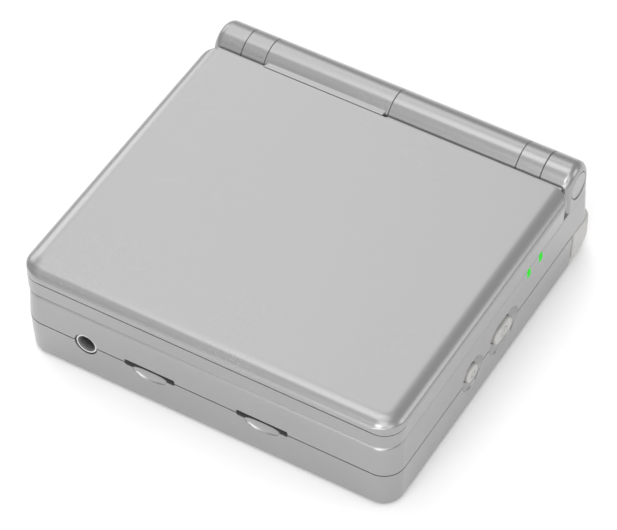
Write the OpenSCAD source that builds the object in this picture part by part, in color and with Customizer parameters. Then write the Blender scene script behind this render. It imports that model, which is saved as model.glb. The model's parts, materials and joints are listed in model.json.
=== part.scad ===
// Clamshell handheld game console, closed. Millimetres, +Z up, front towards -Y.
// The origin is on the surface it stands on, under the middle of its bounding box.

/* [Base] */
// Width of the base across its side seams
body_w = 86.3; // [84:0.1:96]
// Depth of the base from its front seam to its back wall
body_d = 83.9; // [80:0.1:96]
// Height of the base from its underside to its rim
base_h = 18; // [17.4:0.1:20]
// Height of the seam between the lower and the upper shell
split_h = 9.8; // [9.4:0.1:10.2]
// Thickness of the base walls
wall = 1.5; // [1.2:0.1:1.8]
// Thickness of the base floor
floor_t = 1.2; // [1:0.1:1.6]
// Plan radius of the front corners
front_r = 4.75; // [3:0.05:6]
// Plan radius of the back corners
back_r = 2.5; // [2:0.1:4]
// Taper of the lower shell from seam to underside, on each side
lower_taper = 0.35; // [0:0.05:1]
// Taper of the upper shell from seam to rim, on each side
upper_taper = 0.3; // [0:0.05:1]
// Rounding of the edge round the underside
bottom_round = 1.2; // [0.4:0.1:1.6]
// Rounding of the edge round the rim
rim_round = 0.9; // [0.4:0.1:1.2]
// Height of the rubber feet below the underside
foot_proud = 0.4; // [0.3:0.1:1]

/* [Deck] */
// Depth of the control deck below the rim
deck_drop = 1; // [0.8:0.1:1.4]
// Thickness of the control deck
deck_t = 1.2; // [1:0.1:1.6]
// Width of the rim round the control deck
rim_w = 5; // [4:0.1:6]
// Plan radius of the corners of the control deck
deck_r = 3; // [1:0.5:5]

/* [Lid] */
// How far the lid's side seams stand inside those of the base
lid_side_in = 0.15; // [0:0.05:0.4]
// Height of the whole lid
lid_h = 7.1; // [6.9:0.1:9]
// Height of the bezel half of the lid
bezel_h = 3.85; // [3.4:0.05:4.6]
// Gap between the closed lid and the rim
lid_gap = 0.4; // [0.35:0.05:0.8]
// How far the lid seam stands in front of the base seam
lid_reach = 0.1; // [0:0.05:0.6]
// How far the lid cover swells outside the lid seam
lid_bulge = 0.45; // [0:0.05:0.8]
// Height of the swell above the lid seam
bulge_h = 0.95; // [0.5:0.05:1.2]
// Width of the rolled edge round the lid cover
roll_w = 3.9; // [2:0.1:5]
// Plan radius of the lid's front corners
lid_front_r = 4.6; // [3:0.1:6]
// Plan radius of the lid's back corners
lid_back_r = 2; // [1.6:0.1:3]
// Thickness of the lid walls
lid_wall = 1.2; // [1:0.1:1.6]
// Taper of the bezel from seam to lower edge, on each side
bezel_taper = 0.3; // [0:0.05:0.6]
// Rounding of the lower edge of the bezel
bezel_round = 0.8; // [0.3:0.1:1]

/* [Screen] */
// Distance from the lid's side seams to the screen lens
lens_side = 4; // [3.5:0.1:8]
// Distance from the lid's front seam to the screen lens
lens_front = 6.95; // [6.5:0.05:10]
// Thickness of the screen lens
lens_t = 0.8; // [0.6:0.1:1]
// Black border of the lens beside the picture
picture_side = 3.45; // [3:0.05:6]
// Black border of the lens in front of and behind the picture
picture_end = 3.35; // [3:0.05:6]
// How far the lens covers the display panel at the sides
panel_side = 1; // [0:0.1:1.5]
// How far the display panel reaches past the lens at the front and back
panel_end = 0.3; // [-1:0.1:0.4]
// Thickness of the display panel
panel_t = 2.3; // [1.8:0.1:2.6]
// Distance from the lid's back edge to the near edge of the lens
lens_back = 5.8; // [5.2:0.1:7]

/* [Hinge] */
// Radius of the hinge barrel
hinge_r = 4.92; // [4.6:0.02:5.4]
// Distance from the back wall to the hinge axis
hinge_inset = 5.85; // [5.6:0.05:6.4]
// Distance from the top of the lid down to the hinge axis
hinge_drop = 3.06; // [2.9:0.02:3.3]
// Gap between the barrel and the lid's back edge
hinge_gap = 0.48; // [0.4:0.02:0.8]
// Distance from the base's side seams to the end face of an ear
ear_end_in = 0.65; // [0.2:0.05:1.6]
// Length of an ear
ear_w = 6.9; // [6.5:0.1:8]
// Length of a hinge ring
ring_w = 5.7; // [5.2:0.1:7]
// Rounding of the outer end of an ear
ear_round = 1.7; // [0.8:0.1:2]
// Radius of the hinge cap
cap_r = 3.1; // [2.8:0.1:3.2]
// Radius of the friction cartridge
cartridge_r = 2.5; // [2.3:0.05:2.6]
// Radius of the hinge shaft
shaft_r = 1.5; // [1.2:0.05:1.7]
// Thickness of the barrel covers
cover_t = 1.2; // [1:0.1:1.4]
// Depth of the flat lip of the left barrel cover
lip_t = 1.1; // [0.8:0.1:1.4]

/* [Controls] */
// Distance from the base's side seams to the direction pad and to the four round buttons
pad_side = 19.15; // [18.5:0.05:20]
// Distance from the hinge axis forward to the middle of both groups
pad_back = 29.6; // [28.5:0.1:32]
// Length of the direction pad from tip to tip
dpad_l = 19.6; // [18:0.2:21]
// Width of a direction pad arm
dpad_w = 6.6; // [5.6:0.2:7.4]
// Radius of a round button
button_r = 3.3; // [2.8:0.1:3.5]
// Distance from a group's middle to each round button
button_pitch = 7; // [6.6:0.1:7.4]
// Length of the start and select buttons
pill_l = 7; // [5:0.5:8]
// Width of the start and select buttons
pill_w = 2.6; // [2.2:0.1:3.4]
// Distance from the middle to the start and select buttons
pill_x = 6.5; // [6:0.5:8]
// Distance from the round buttons forward to the start and select buttons
pill_front = 19; // [18:0.5:22]
// Radius of the menu button
menu_r = 2.2; // [1.8:0.1:2.6]
// Height of the controls above the deck
control_proud = 0.9; // [0.6:0.1:1]
// Travel of the buttons on the deck
button_travel = 0.7; // [0.5:0.05:0.8]
// Thickness of the rims that keep the controls under the deck
flange_t = 0.8; // [0.6:0.1:0.9]

/* [Triggers] */
// How far the triggers stand behind the back wall
trigger_proud = 1.45; // [1:0.05:2]
// Length of the lower side of a trigger, front to back
trigger_d = 9.05; // [8.8:0.05:9.5]
// Height of a trigger at its front edge
trigger_h = 7.6; // [6.8:0.1:8]
// How much a trigger's top rises towards the back
trigger_rise = 2.7; // [1.5:0.1:3]
// Width of an outer trigger
trigger_outer_w = 13.4; // [13:0.1:14.4]
// Width of an inner trigger
trigger_inner_w = 13.2; // [12.4:0.1:14.2]
// Thickness of the trigger walls
trigger_wall = 1.4; // [1:0.1:1.6]
// Radius of the trigger pins
trigger_pin_r = 0.8; // [0.6:0.05:1]

/* [Side controls] */
// Distance from the back wall to the middle of the power button
power_back = 38.4; // [36:0.1:40]
// Length of the power button
power_l = 7.2; // [6:0.1:8]
// Distance from the back wall to the middle of the reset button
reset_back = 51.5; // [50:0.1:54]
// Length of the reset button
reset_l = 4.4; // [4:0.1:5]
// Height of the power and reset buttons
side_button_h = 3.8; // [3.2:0.1:4]
// Depth of the dishes round the power and reset buttons
dish_depth = 0.9; // [0.5:0.1:1]
// Length that a dish adds to its button
dish_margin = 4.4; // [3:0.1:5]
// Height of the dishes
dish_h = 8; // [6:0.1:8.4]
// Distance from the back wall to the middle of the volume rocker
volume_back = 33.9; // [30:0.1:38]
// Length of the volume rocker
volume_l = 16; // [12:0.5:18]
// Distances from the back wall to the middle of the two status lights
light_back = [27.9, 22.9]; // [18:0.1:34]
// Width of a status light
light_w = 1.1; // [0.8:0.1:2]

/* [Ports] */
// Distance from the base's side seam to the middle of the headphone socket
jack_side = 15.35; // [14:0.05:17]
// Height of the headphone socket's axis above the underside
jack_h = 9.5; // [9.3:0.1:9.8]
// Radius of the headphone socket's bore
jack_bore_r = 1.75; // [1.7:0.01:1.8]
// Radius of the headphone socket's nose
jack_nose_r = 2.45; // [2.3:0.05:2.6]
// Depth of the headphone socket's bore
jack_depth = 11; // [10:0.5:12]
// Distance from each of the base's side seams to the middle of its card slot
slot_side = [30.5, 29.75]; // [27:0.05:32]
// Width of a card slot
slot_w = 11.7; // [11.4:0.1:12.4]
// Height of a card slot
slot_h = 1.5; // [1.2:0.1:1.8]
// Width of the thumb scoop below a card slot
scoop_w = 8; // [6:0.1:10]
// Height of the thumb scoop below a card slot
scoop_h = 2.9; // [2:0.1:4]
// Distances from the middle to the charging socket and the video socket
port_x = [6.5, -6.5]; // [-8:0.1:8]
// Widths of the charging socket and the video socket
port_w = [8.9, 10.4]; // [8:0.1:10.8]
// Height of the charging and video sockets
port_h = 3.2; // [3:0.1:3.4]

/* [Inside] */
// Thickness of the main board
board_t = 1; // [0.8:0.1:1.2]
// Free height between the main board and the deck
board_room = 2.9; // [2.8:0.1:3]
// Width of the battery
battery_w = 44; // [40:0.5:46]
// Depth of the battery
battery_d = 36; // [30:0.5:38]
// Thickness of the battery
battery_t = 5.8; // [5:0.1:6]
// Distance from the back wall to the battery
battery_back_in = 16.9; // [16:0.1:19]
// Radius of the screw shanks
screw_r = 0.8; // [0.7:0.05:0.9]
// Radius of the screw heads
head_r = 1.5; // [1.3:0.1:1.6]
// Radius of the feet
foot_r = 3; // [2.5:0.1:4]

/* [Hidden] */
$fn = 48;
HULL_FN = 32;
CORNER_STEPS = 6;
CUT = 0.5;
SKIN = 0.01;

// Clearances
SEAM = 0.1;
FIT = 0.15;
RUN = 0.05;
PLAY = 0.3;
SWING = 0.3;
SEAT = 0.02;

// Main heights
base_z = foot_proud;
floor_z = base_z + floor_t;
seam_z = base_z + split_h;
rim_z = base_z + base_h;
deck_z = rim_z - deck_drop;
under_z = deck_z - deck_t;
lid_z = rim_z + lid_gap;
lid_seam_z = lid_z + bezel_h;
lid_top_z = lid_z + lid_h;
board_top = under_z - board_room;
board_z = board_top - board_t;

// Main plan places
half_w = body_w / 2;
lid_half = half_w - lid_side_in;
front = -(body_d + trigger_proud - lid_reach - lid_bulge) / 2;
back = front + body_d;
lid_front = front - lid_reach;
hinge_y = back - hinge_inset;
hinge_z = lid_top_z - hinge_drop;
lid_back = hinge_y - hinge_r - hinge_gap;
pad_y = hinge_y - pad_back;
pill_y = pad_y - pill_front;
pad_x = half_w - pad_side;
lens_back_y = lid_back - lens_back;
lens_w = 2 * (lid_half - lens_side);
lens_d = lens_back_y - lid_front - lens_front;
screen_y = lens_back_y - lens_d / 2;
picture_w = lens_w - 2 * picture_side;
picture_d = lens_d - 2 * picture_end;
panel_w = lens_w - 2 * panel_side;
panel_d = lens_d + 2 * panel_end;

// Hinge
ear_end_x = half_w - ear_end_in;
ear_x = ear_end_x - ear_w;
ring_x = ear_x - ring_w;
core_wall = 0.8;
core_r = hinge_r - cover_t;
core_bore_r = core_r - core_wall;
pocket_r = cartridge_r + RUN;
cap_t = 0.9;
pocket_end_x = ear_end_x - cap_t;
lip_x = [-ring_x + 0.6, -0.7];
arm_z = [lid_z + 0.8, lid_seam_z - SEAM];
rib_z = [hinge_z - 2.4, lid_seam_z - SEAM];
rib_x = [-0.5, 0.27, 0.74] * ring_x;
rib_w = 4;
flex_x = [3, 9] - [ring_x, ring_x];
flex_t = 0.15;
flex_z = lid_z + 2.4;

// Base screws and feet
screw_in = [5.1, 5.4];
screw_back_y = lid_back - 6.4;
screw_places = [
    for (sx = [-1, 1], y = [front + screw_in[1], screw_back_y]) [sx * (half_w - screw_in[0]), y]
];
boss_r = 2.2;
lower_boss_r = 2.6;
head_t = 1;
foot_t = 1;
foot_in = [13, 9.5];
foot_places = [
    for (sx = [-1, 1], y = [front + foot_in[1], lid_back - 4]) [sx * (half_w - foot_in[0]), y]
];

// Lid screws
lid_screw_in = 3.6;
lid_screw_front = 3.3;
lid_screw_back = 2.5;
lid_screws_at = [
    for (sx = [-1, 1], y = [lid_front + lid_screw_front, lid_back - lid_screw_back])
        [sx * (lid_half - lid_screw_in), y]
];
lid_head_r = 1.4;
lid_head_t = 0.7;
bumper_r = 1.9;
bumper_t = 0.8;
bumper_proud = 0.25;
lid_boss_r = 1.9;

// Controls
hole_play = 0.2;
flange_w = 0.8;
pad_t = 0.4;
dome_t = 0.2;
flange_z = under_z - 0.2 - flange_t;
dpad_flange_r = 9;
dpad_flange_z = under_z - 0.6 - flange_t;
dpad_hole = 0.35;
pivot_r = 0.7;
face_spots = [[1, 0], [0, -1], [0, 1], [-1, 0]];

// Triggers
trigger_gap = 0.4;
trigger_front = back + trigger_proud - trigger_d;
trigger_z = floor_z + PLAY + 0.1;
trigger_r = 2.2;
trigger_pin_y = back - 3;
pin_end_in = 3.2;
lug_r = 1.7;
notch_front = trigger_front - 0.9;
trigger_seam_x = half_w - FIT - trigger_outer_w - trigger_gap / 2;
trigger_in_x = trigger_seam_x - trigger_gap / 2 - trigger_inner_w;
trigger_ends = [
    [trigger_seam_x + trigger_gap / 2, half_w - FIT],
    [trigger_in_x, trigger_seam_x - trigger_gap / 2]
];
trigger_lever = [7, 9];
switch_in = (trigger_lever[0] + trigger_lever[1]) / 2;

// Side controls
power_y = back - power_back;
reset_y = back - reset_back;
volume_y = back - volume_back;
light_y = [for (b = light_back) back - b];
button_z = seam_z;
side_face_x = half_w + 0.1;
side_pad = 0.8;
stem_end_x = half_w - wall - 1.4;
volume_h = 3.4;
light_z = rim_z - rim_round - 0.1;
light_leg_x = [half_w - wall - 1, half_w - wall - 0.2];

// Ports
jack_x = half_w - jack_side;
slot_x = [slot_side[0] - half_w, half_w - slot_side[1]];
jack_z = base_z + jack_h;
jack_w = 6.4;
nose_l = 1.6;
jack_hole_r = jack_nose_r + 0.3;
slot_z = seam_z + 0.15;
socket_w = slot_w + 2.6;
socket_d = 14.5;
port_z = board_z - port_h / 2;
port_d = 7.4;

// Inside
shield_size = [22, 18, 1.6];
shield_at = [-13, pad_y - 14];
chip_size = [10, 12, 1];
chip_at = [16, pad_y - 3];
memory_size = [8, 8, 1];
memory_at = [-30, pad_y - 4];
sensor_size = [2, 1.4, 1];
lamp_size = [1.2, 1, 0.7];
antenna_size = [5, 10, 1];
antenna_at = [1, pad_y - 22];
speaker_size = [18, 13];
gauze_size = [14, 9, 0.25];
motor_r = 4;
motor_t = 2.7;
motor_at = [-28, front + 22];
pad_size = 20;
dome_r = 2.2;
small_dome_r = 1.6;
strap_w = 3;
switch_size = [4, 3.2, 2.9];
plunger_w = 1.4;
plunger_z = [2.6, 1.4];
link_size = [5.8, 4, 2.6];
board_play = 0.4;
board_back = trigger_front - 0.9;
tongue_w = 26;
battery_z = floor_z + 0.05;
cover_play = 0.15;
cover_margin = 1.2;
bay_wall = 1;
battery_back = back - battery_back_in;
battery_front = battery_back - battery_d;

// Points of a rectangle with its own radius at the front and at the back corners
function corner(cx, cy, r, a0) =
    [for (i = [0 : CORNER_STEPS]) let (a = a0 + 90 * i / CORNER_STEPS) [cx + r * cos(a), cy + r * sin(a)]];
function plan_points(hw, yf, yb, rf, rb) = concat(
    corner(hw - rf, yf + rf, rf, -90), corner(hw - rb, yb - rb, rb, 0),
    corner(-hw + rb, yb - rb, rb, 90), corner(-hw + rf, yf + rf, rf, 180));

module plan(hw, yf, yb, rf, rb) polygon(plan_points(hw, yf, yb, rf, rb));

// Prism on a rounded plan
module slab(hw, yf, yb, rf, rb, z0, z1) {
    translate([0, 0, z0]) linear_extrude(z1 - z0) plan(hw, yf, yb, rf, rb);
}

// Convex shell body through a list of [height, inset, inset of the back edge] stations
module loft(stations, hw, yf, yb, rf, rb) {
    hull() {
        for (s = stations) {
            translate([0, 0, s[0]]) linear_extrude(SKIN)
                plan(hw - s[1], yf + s[1], yb - s[2], max(rf - s[1], 0.3), max(rb - s[2], 0.3));
        }
    }
}

module block(x0, x1, y0, y1, z0, z1) {
    translate([x0, y0, z0]) cube([x1 - x0, y1 - y0, z1 - z0]);
}

module post(x, y, r, z0, z1) {
    translate([x, y, z0]) cylinder(r = r, h = z1 - z0);
}

// Cylinder along X
module rod(x0, x1, y, z, r) {
    translate([x0, y, z]) rotate([0, 90, 0]) cylinder(r = r, h = x1 - x0);
}

module hinge_rod(x0, x1, r) {
    rod(x0, x1, hinge_y, hinge_z, r);
}

// Stadium outline, long side along X
module stadium(l, w) {
    square([l - w, w], center = true);
    for (s = [-1, 1]) translate([s * (l - w) / 2, 0]) circle(d = w);
}

// Stadium prism that stands out of a side wall, from x0 to x1
module side_stadium(x0, x1, y, z, l, w) {
    translate([x0, y, z]) rotate([90, 0, 90]) linear_extrude(x1 - x0) stadium(l, w);
}

module frame_of(w0, d0, w1, d1, y, z0, z1) {
    difference() {
        block(-w0 / 2, w0 / 2, y - d0 / 2, y + d0 / 2, z0, z1);
        block(-w1 / 2, w1 / 2, y - d1 / 2, y + d1 / 2, z0 - CUT, z1 + CUT);
    }
}

// ---- Lid ----

// Stations of the cover's swell and rolled edge
roll_steps = 6;
bulge_z = lid_seam_z + bulge_h;
back_roll = 0.35;
cover_stations = concat(
    [[lid_seam_z, 0, 0], [lid_seam_z + bulge_h / 2, -lid_bulge * 0.8, 0]],
    [for (i = [0 : roll_steps]) let (a = 90 * i / roll_steps)
        [bulge_z + (lid_top_z - SKIN - bulge_z) * sin(a), -lid_bulge + roll_w * (1 - cos(a)),
            back_roll * (1 - cos(a))]]);

module lid_back_cover() {
    color([0.77, 0.77, 0.77])
    difference() {
        union() {
            difference() {
                loft(cover_stations, lid_half, lid_front, lid_back, lid_front_r, lid_back_r);
                slab(lid_half - lid_wall, lid_front + lid_wall, lid_back - lid_wall,
                    lid_front_r - lid_wall, lid_back_r - lid_wall, lid_seam_z - CUT, lid_top_z - lid_wall);
            }
            for (p = lid_screws_at) post(p[0], p[1], lid_boss_r, lid_seam_z, lid_top_z - lid_wall);
        }
        for (p = lid_screws_at) {
            post(p[0], p[1], screw_r + SEAT, lid_seam_z - CUT - 1, lid_top_z - lid_wall - 0.3);
        }
    }
}

bezel_plate_z = lid_z + lid_wall;
bezel_stations = [
    for (s = [[lid_z, bezel_taper + bezel_round],
        [lid_z + bezel_round * 0.3, bezel_taper + bezel_round * 0.3],
        [lid_z + bezel_round, bezel_taper], [lid_seam_z - SEAM - SKIN, 0]]) [s[0], s[1], s[1]]
];
screen_open = [picture_w + 2.9, picture_d + 2.7];

module bezel_arm(s) {
    x0 = s < 0 ? -ear_x + SEAM : ring_x;
    x1 = s < 0 ? -ring_x : ear_x - SEAM;
    block(x0, x1, lid_back - lid_wall - 1, hinge_y - hinge_r / 2, arm_z[0], arm_z[1]);
    hinge_rod(x0, x1, hinge_r);
}

module lid_bezel() {
    color([0.68, 0.68, 0.68])
    difference() {
        union() {
            difference() {
                loft(bezel_stations, lid_half, lid_front, lid_back, lid_front_r, lid_back_r);
                slab(lid_half - lid_wall, lid_front + lid_wall, lid_back - lid_wall,
                    lid_front_r - lid_wall, lid_back_r - lid_wall, bezel_plate_z, lid_seam_z + CUT);
            }
            for (p = lid_screws_at) {
                post(p[0], p[1], lid_boss_r + 0.4, bezel_plate_z - 0.2, lid_seam_z - SEAM);
            }
            for (s = [-1, 1]) bezel_arm(s);
            hinge_rod(-ring_x, ring_x, core_r - SEAT);
            for (x = rib_x) {
                block(x - rib_w / 2, x + rib_w / 2, lid_back - lid_wall, hinge_y - core_bore_r - 0.3,
                    rib_z[0], rib_z[1]);
            }
        }
        translate([0, screen_y, lid_z - CUT]) linear_extrude(lens_t + SEAM + CUT)
            square([lens_w + 2 * SEAM, lens_d + 2 * SEAM], center = true);
        translate([0, screen_y, lid_z]) linear_extrude(lid_wall + CUT)
            square(screen_open, center = true);
        for (s = [-1, 1]) mirror([s < 0 ? 1 : 0, 0, 0]) hinge_rod(ring_x - 1.6, ear_x, pocket_r);
        hinge_rod(-ring_x - CUT, ring_x + CUT, core_bore_r - 0.5);
        hinge_rod(-ring_x + 1.6, ring_x - 1.6, core_bore_r);
        block(flex_x[0] - FIT, flex_x[1] + FIT, lid_back - lid_wall - CUT, hinge_y,
            flex_z - FIT, flex_z + flex_t + FIT);
        for (p = lid_screws_at) {
            post(p[0], p[1], bumper_r + 0.05, lid_z - CUT, lid_z + bumper_t - bumper_proud);
            post(p[0], p[1], lid_head_r + SEAM, lid_z, lid_z + bumper_t - bumper_proud + lid_head_t);
            post(p[0], p[1], screw_r + SEAM, lid_z, lid_seam_z + CUT);
        }
    }
}

module barrel_cover(x0, x1) {
    difference() {
        hinge_rod(x0, x1, hinge_r);
        hinge_rod(x0 - CUT, x1 + CUT, core_r);
    }
}

// Slot that lets the bezel's webs and the cable into a barrel cover
module cover_slot(x0, x1) {
    block(x0, x1, hinge_y - hinge_r - CUT, hinge_y, rib_z[0] - 0.2, rib_z[1] + 0.2);
}

module rib_slot(x) cover_slot(x - rib_w / 2 - 0.2, x + rib_w / 2 + 0.2);

module barrel_cover_left() {
    color([0.77, 0.77, 0.77])
    difference() {
        union() {
            barrel_cover(-ring_x + SEAM, -SEAM / 2);
            difference() {
                translate([0, 0, lid_top_z - lip_t]) linear_extrude(lip_t) polygon([
                    [lip_x[0], lid_back + SEAM], [lip_x[1], lid_back + SEAM],
                    [lip_x[1], hinge_y - 1], [lip_x[0] + 1.6, hinge_y - 1]]);
                hinge_rod(-ring_x, 0, hinge_r - 0.3);
            }
        }
        cover_slot(flex_x[0] - PLAY, flex_x[1] + PLAY);
        rib_slot(rib_x[0]);
    }
}

module barrel_cover_right() {
    color([0.77, 0.77, 0.77])
    difference() {
        barrel_cover(SEAM / 2, ring_x - SEAM);
        rib_slot(rib_x[1]);
        rib_slot(rib_x[2]);
    }
}

module screen_lens() {
    color([0.04, 0.04, 0.05])
    translate([0, screen_y, lid_z + SEAT]) linear_extrude(lens_t)
        square([lens_w, lens_d], center = true);
}

module screen_gasket() {
    color([0.1, 0.1, 0.1])
    frame_of(screen_open[0] - 0.3, screen_open[1] - 0.3, picture_w + 0.4, picture_d + 0.4, screen_y,
        lid_z + SEAT + lens_t + SEAT, bezel_plate_z - SEAT);
}

panel_z = bezel_plate_z + SEAT;

module display_panel() {
    color([0.25, 0.27, 0.3])
    block(-panel_w / 2, panel_w / 2, screen_y - panel_d / 2, screen_y + panel_d / 2,
        panel_z, panel_z + panel_t);
}

module display_foam() {
    color([0.2, 0.2, 0.22])
    frame_of(panel_w - 12, panel_d - 10, panel_w - 30, panel_d - 28, screen_y,
        panel_z + panel_t + SEAM, lid_top_z - lid_wall - SEAM);
}

module display_flex_cable() {
    color([0.75, 0.45, 0.12]) {
        difference() {
            hinge_rod(flex_x[0], flex_x[1], core_bore_r - SEAM);
            hinge_rod(flex_x[0] - CUT, flex_x[1] + CUT, core_bore_r - SEAM - 0.3);
        }
        block(flex_x[0], flex_x[1], screen_y + panel_d / 2 + SEAT, hinge_y - core_bore_r + 0.75,
            flex_z, flex_z + flex_t);
    }
}

module lid_screws() {
    color([0.55, 0.55, 0.57])
    for (p = lid_screws_at) {
        post(p[0], p[1], lid_head_r, lid_z + bumper_t - bumper_proud + SEAT,
            lid_z + bumper_t - bumper_proud + lid_head_t - SEAT);
        post(p[0], p[1], screw_r, lid_z + bumper_t - bumper_proud + 0.2, lid_top_z - lid_wall - 0.6);
    }
}

module lid_bumpers() {
    color([0.6, 0.6, 0.6])
    for (p = lid_screws_at) {
        post(p[0], p[1], bumper_r, lid_z - bumper_proud, lid_z + bumper_t - bumper_proud);
    }
}

magnet_x = 12;
magnet_r = 1.5;
magnet_y = lid_back - lid_wall - 2;

module lid_magnet() {
    color([0.6, 0.6, 0.62])
    post(magnet_x, magnet_y, magnet_r, bezel_plate_z + SEAT, bezel_plate_z + 1.5);
}

// ---- Hinge ----

module hinge_cam() {
    color([0.5, 0.5, 0.52])
    difference() {
        hinge_rod(ring_x + 0.3, ear_x - 0.4, cartridge_r);
        hinge_rod(ring_x, ear_x, shaft_r + RUN);
    }
}

module hinge_cartridge() {
    color([0.45, 0.45, 0.47]) {
        hinge_rod(ear_x + FIT, pocket_end_x - 0.3, cartridge_r);
        hinge_rod(ring_x + 0.8, ear_x + 0.4, shaft_r);
    }
}

bush_end_x = ear_x + 1.4;

module hinge_bush() {
    color([0.5, 0.5, 0.52])
    difference() {
        hinge_rod(-bush_end_x, -ring_x - 0.5, cartridge_r);
        hinge_rod(-bush_end_x - CUT, -ring_x, cartridge_r - 0.8);
    }
}

module hinge_cap_right() {
    color([0.77, 0.77, 0.77])
    hinge_rod(ear_end_x - cap_t + SEAT, ear_end_x, cap_r - SEAM);
}

module hinge_cap_left() mirror([1, 0, 0]) hinge_cap_right();

tail_x = [2.1, 4.9] - [ear_end_x, ear_end_x];
tail_r = cartridge_r - 0.8 - SEAM;

module hinge_flex_tail() {
    color([0.75, 0.45, 0.12]) {
        hinge_rod(tail_x[0], -ring_x - 0.7, tail_r);
        block(tail_x[0], tail_x[1], hinge_y - flex_t, hinge_y, board_top + 0.5, hinge_z);
        block(tail_x[0], tail_x[1], board_back - 0.9, hinge_y, board_top + 0.5, board_top + 0.5 + flex_t);
    }
}

// ---- Base shells ----

upper_stations = [
    for (s = [[seam_z + SEAM, 0], [rim_z - rim_round, upper_taper],
        [rim_z - rim_round * 0.3, upper_taper + rim_round * 0.3],
        [rim_z - SKIN, upper_taper + rim_round]]) [s[0], s[1], s[1]]
];
lower_stations = [
    for (s = [[base_z, lower_taper + bottom_round],
        [base_z + bottom_round * 0.3, lower_taper + bottom_round * 0.3],
        [base_z + bottom_round, lower_taper], [seam_z - SKIN, 0]]) [s[0], s[1], s[1]]
];

// Barrel end of an ear, turned about the hinge axis
module ear_barrel() {
    translate([0, hinge_y, hinge_z]) rotate([0, 90, 0]) rotate_extrude() polygon(concat(
        [[0, ear_x], [hinge_r, ear_x]],
        [for (i = [0 : 4]) let (a = 22.5 * i)
            [hinge_r - ear_round + ear_round * cos(a), ear_end_x - ear_round + ear_round * sin(a)]],
        [[0, ear_end_x]]));
}

// Ear of the base: the barrel end blended down into the rear corner
module ear() {
    foot_x = half_w - upper_taper;
    hull() {
        ear_barrel($fn = HULL_FN);
        intersection() {
            slab(foot_x, front, back, front_r, back_r, under_z, under_z + 0.4);
            block(ear_x, half_w, hinge_y - hinge_r, back, under_z, under_z + 1);
        }
    }
}

// Side view of the triggers, grown by c, between two X values
module trigger_profile(x0, x1, c) {
    b = back + trigger_proud + c;
    f = trigger_front - c;
    z0 = trigger_z - c;
    r = trigger_r;
    translate([x0, 0, 0]) rotate([90, 0, 90]) linear_extrude(x1 - x0) polygon(concat(
        [[f, z0]],
        [for (i = [0 : 4]) [b - r + r * sin(22.5 * i), z0 + r - r * cos(22.5 * i)]],
        [[b, trigger_z + trigger_h + trigger_rise + c], [b - 1, trigger_z + trigger_h + trigger_rise + c],
            [f, trigger_z + trigger_h + c]]));
}

module trigger_room(s) {
    mirror([s < 0 ? 1 : 0, 0, 0]) trigger_profile(trigger_in_x - PLAY, half_w + 1, SWING);
}

module deck_holes() {
    translate([-pad_x, pad_y, under_z - CUT]) for (a = [0, 90]) rotate([0, 0, a])
        linear_extrude(deck_t + 2 * CUT)
            square([dpad_l + 2 * dpad_hole, dpad_w + 2 * dpad_hole], center = true);
    for (p = face_spots) {
        post(pad_x + p[0] * button_pitch, pad_y + p[1] * button_pitch, button_r + hole_play,
            under_z - CUT, deck_z + CUT);
    }
    for (s = [-1, 1]) translate([s * pill_x, pill_y, under_z - CUT]) linear_extrude(deck_t + 2 * CUT)
        stadium(pill_l + 2 * hole_play, pill_w + 2 * hole_play);
    post(0, pad_y, menu_r + hole_play, under_z - CUT, deck_z + CUT);
    for (i = [-2 : 2], j = [-1 : 1]) {
        post(speaker_x + i * grille_pitch, speaker_y + j * grille_pitch, 0.6, under_z - CUT, deck_z + CUT);
    }
}

speaker_x = 24;
speaker_y = front + 13;
grille_pitch = 2.6;

// Cut for one card slot through the front wall
module slot_cut(x) {
    translate([x, front - CUT, slot_z]) rotate([-90, 0, 0]) linear_extrude(wall + CUT + 1)
        stadium(slot_w, slot_h);
}

module front_cuts() {
    for (x = slot_x) slot_cut(x);
    translate([-jack_x, front - CUT, jack_z]) rotate([-90, 0, 0])
        cylinder(r = jack_hole_r, h = wall + CUT + 1);
}

module rear_cuts() {
    for (i = [0, 1]) translate([port_x[i], back + CUT, port_z]) rotate([90, 0, 0])
        linear_extrude(wall + CUT + 1) stadium(port_w[i] + 0.4, port_h + 0.4);
}

module side_cuts() {
    for (b = [[power_y, power_l], [reset_y, reset_l]]) {
        side_stadium(half_w - dish_depth, half_w + CUT, b[0], button_z, b[1] + dish_margin, dish_h);
        side_stadium(half_w - wall - side_pad - CUT, half_w + CUT, b[0], button_z,
            b[1] + 2 * hole_play, side_button_h + 2 * hole_play);
    }
    side_stadium(-half_w - CUT, -half_w + wall + CUT, volume_y, button_z,
        volume_l + 2 * PLAY, volume_h + 2 * PLAY);
}

module light_cuts() {
    for (y = light_y) {
        block(half_w - wall - CUT, half_w + CUT, y - light_w / 2 - SEAT, y + light_w / 2 + SEAT,
            light_z, rim_z + CUT);
        block(light_leg_x[0] - SEAT, light_leg_x[1] + SEAT, y - light_w / 2 - SEAT,
            y + light_w / 2 + SEAT, under_z - CUT, rim_z - 0.6 + SEAT);
    }
}

module side_pads(z0, z1) {
    block(half_w - wall - side_pad, half_w - wall + 0.3, reset_y - 5, power_y + 6, z0, z1);
}

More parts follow.
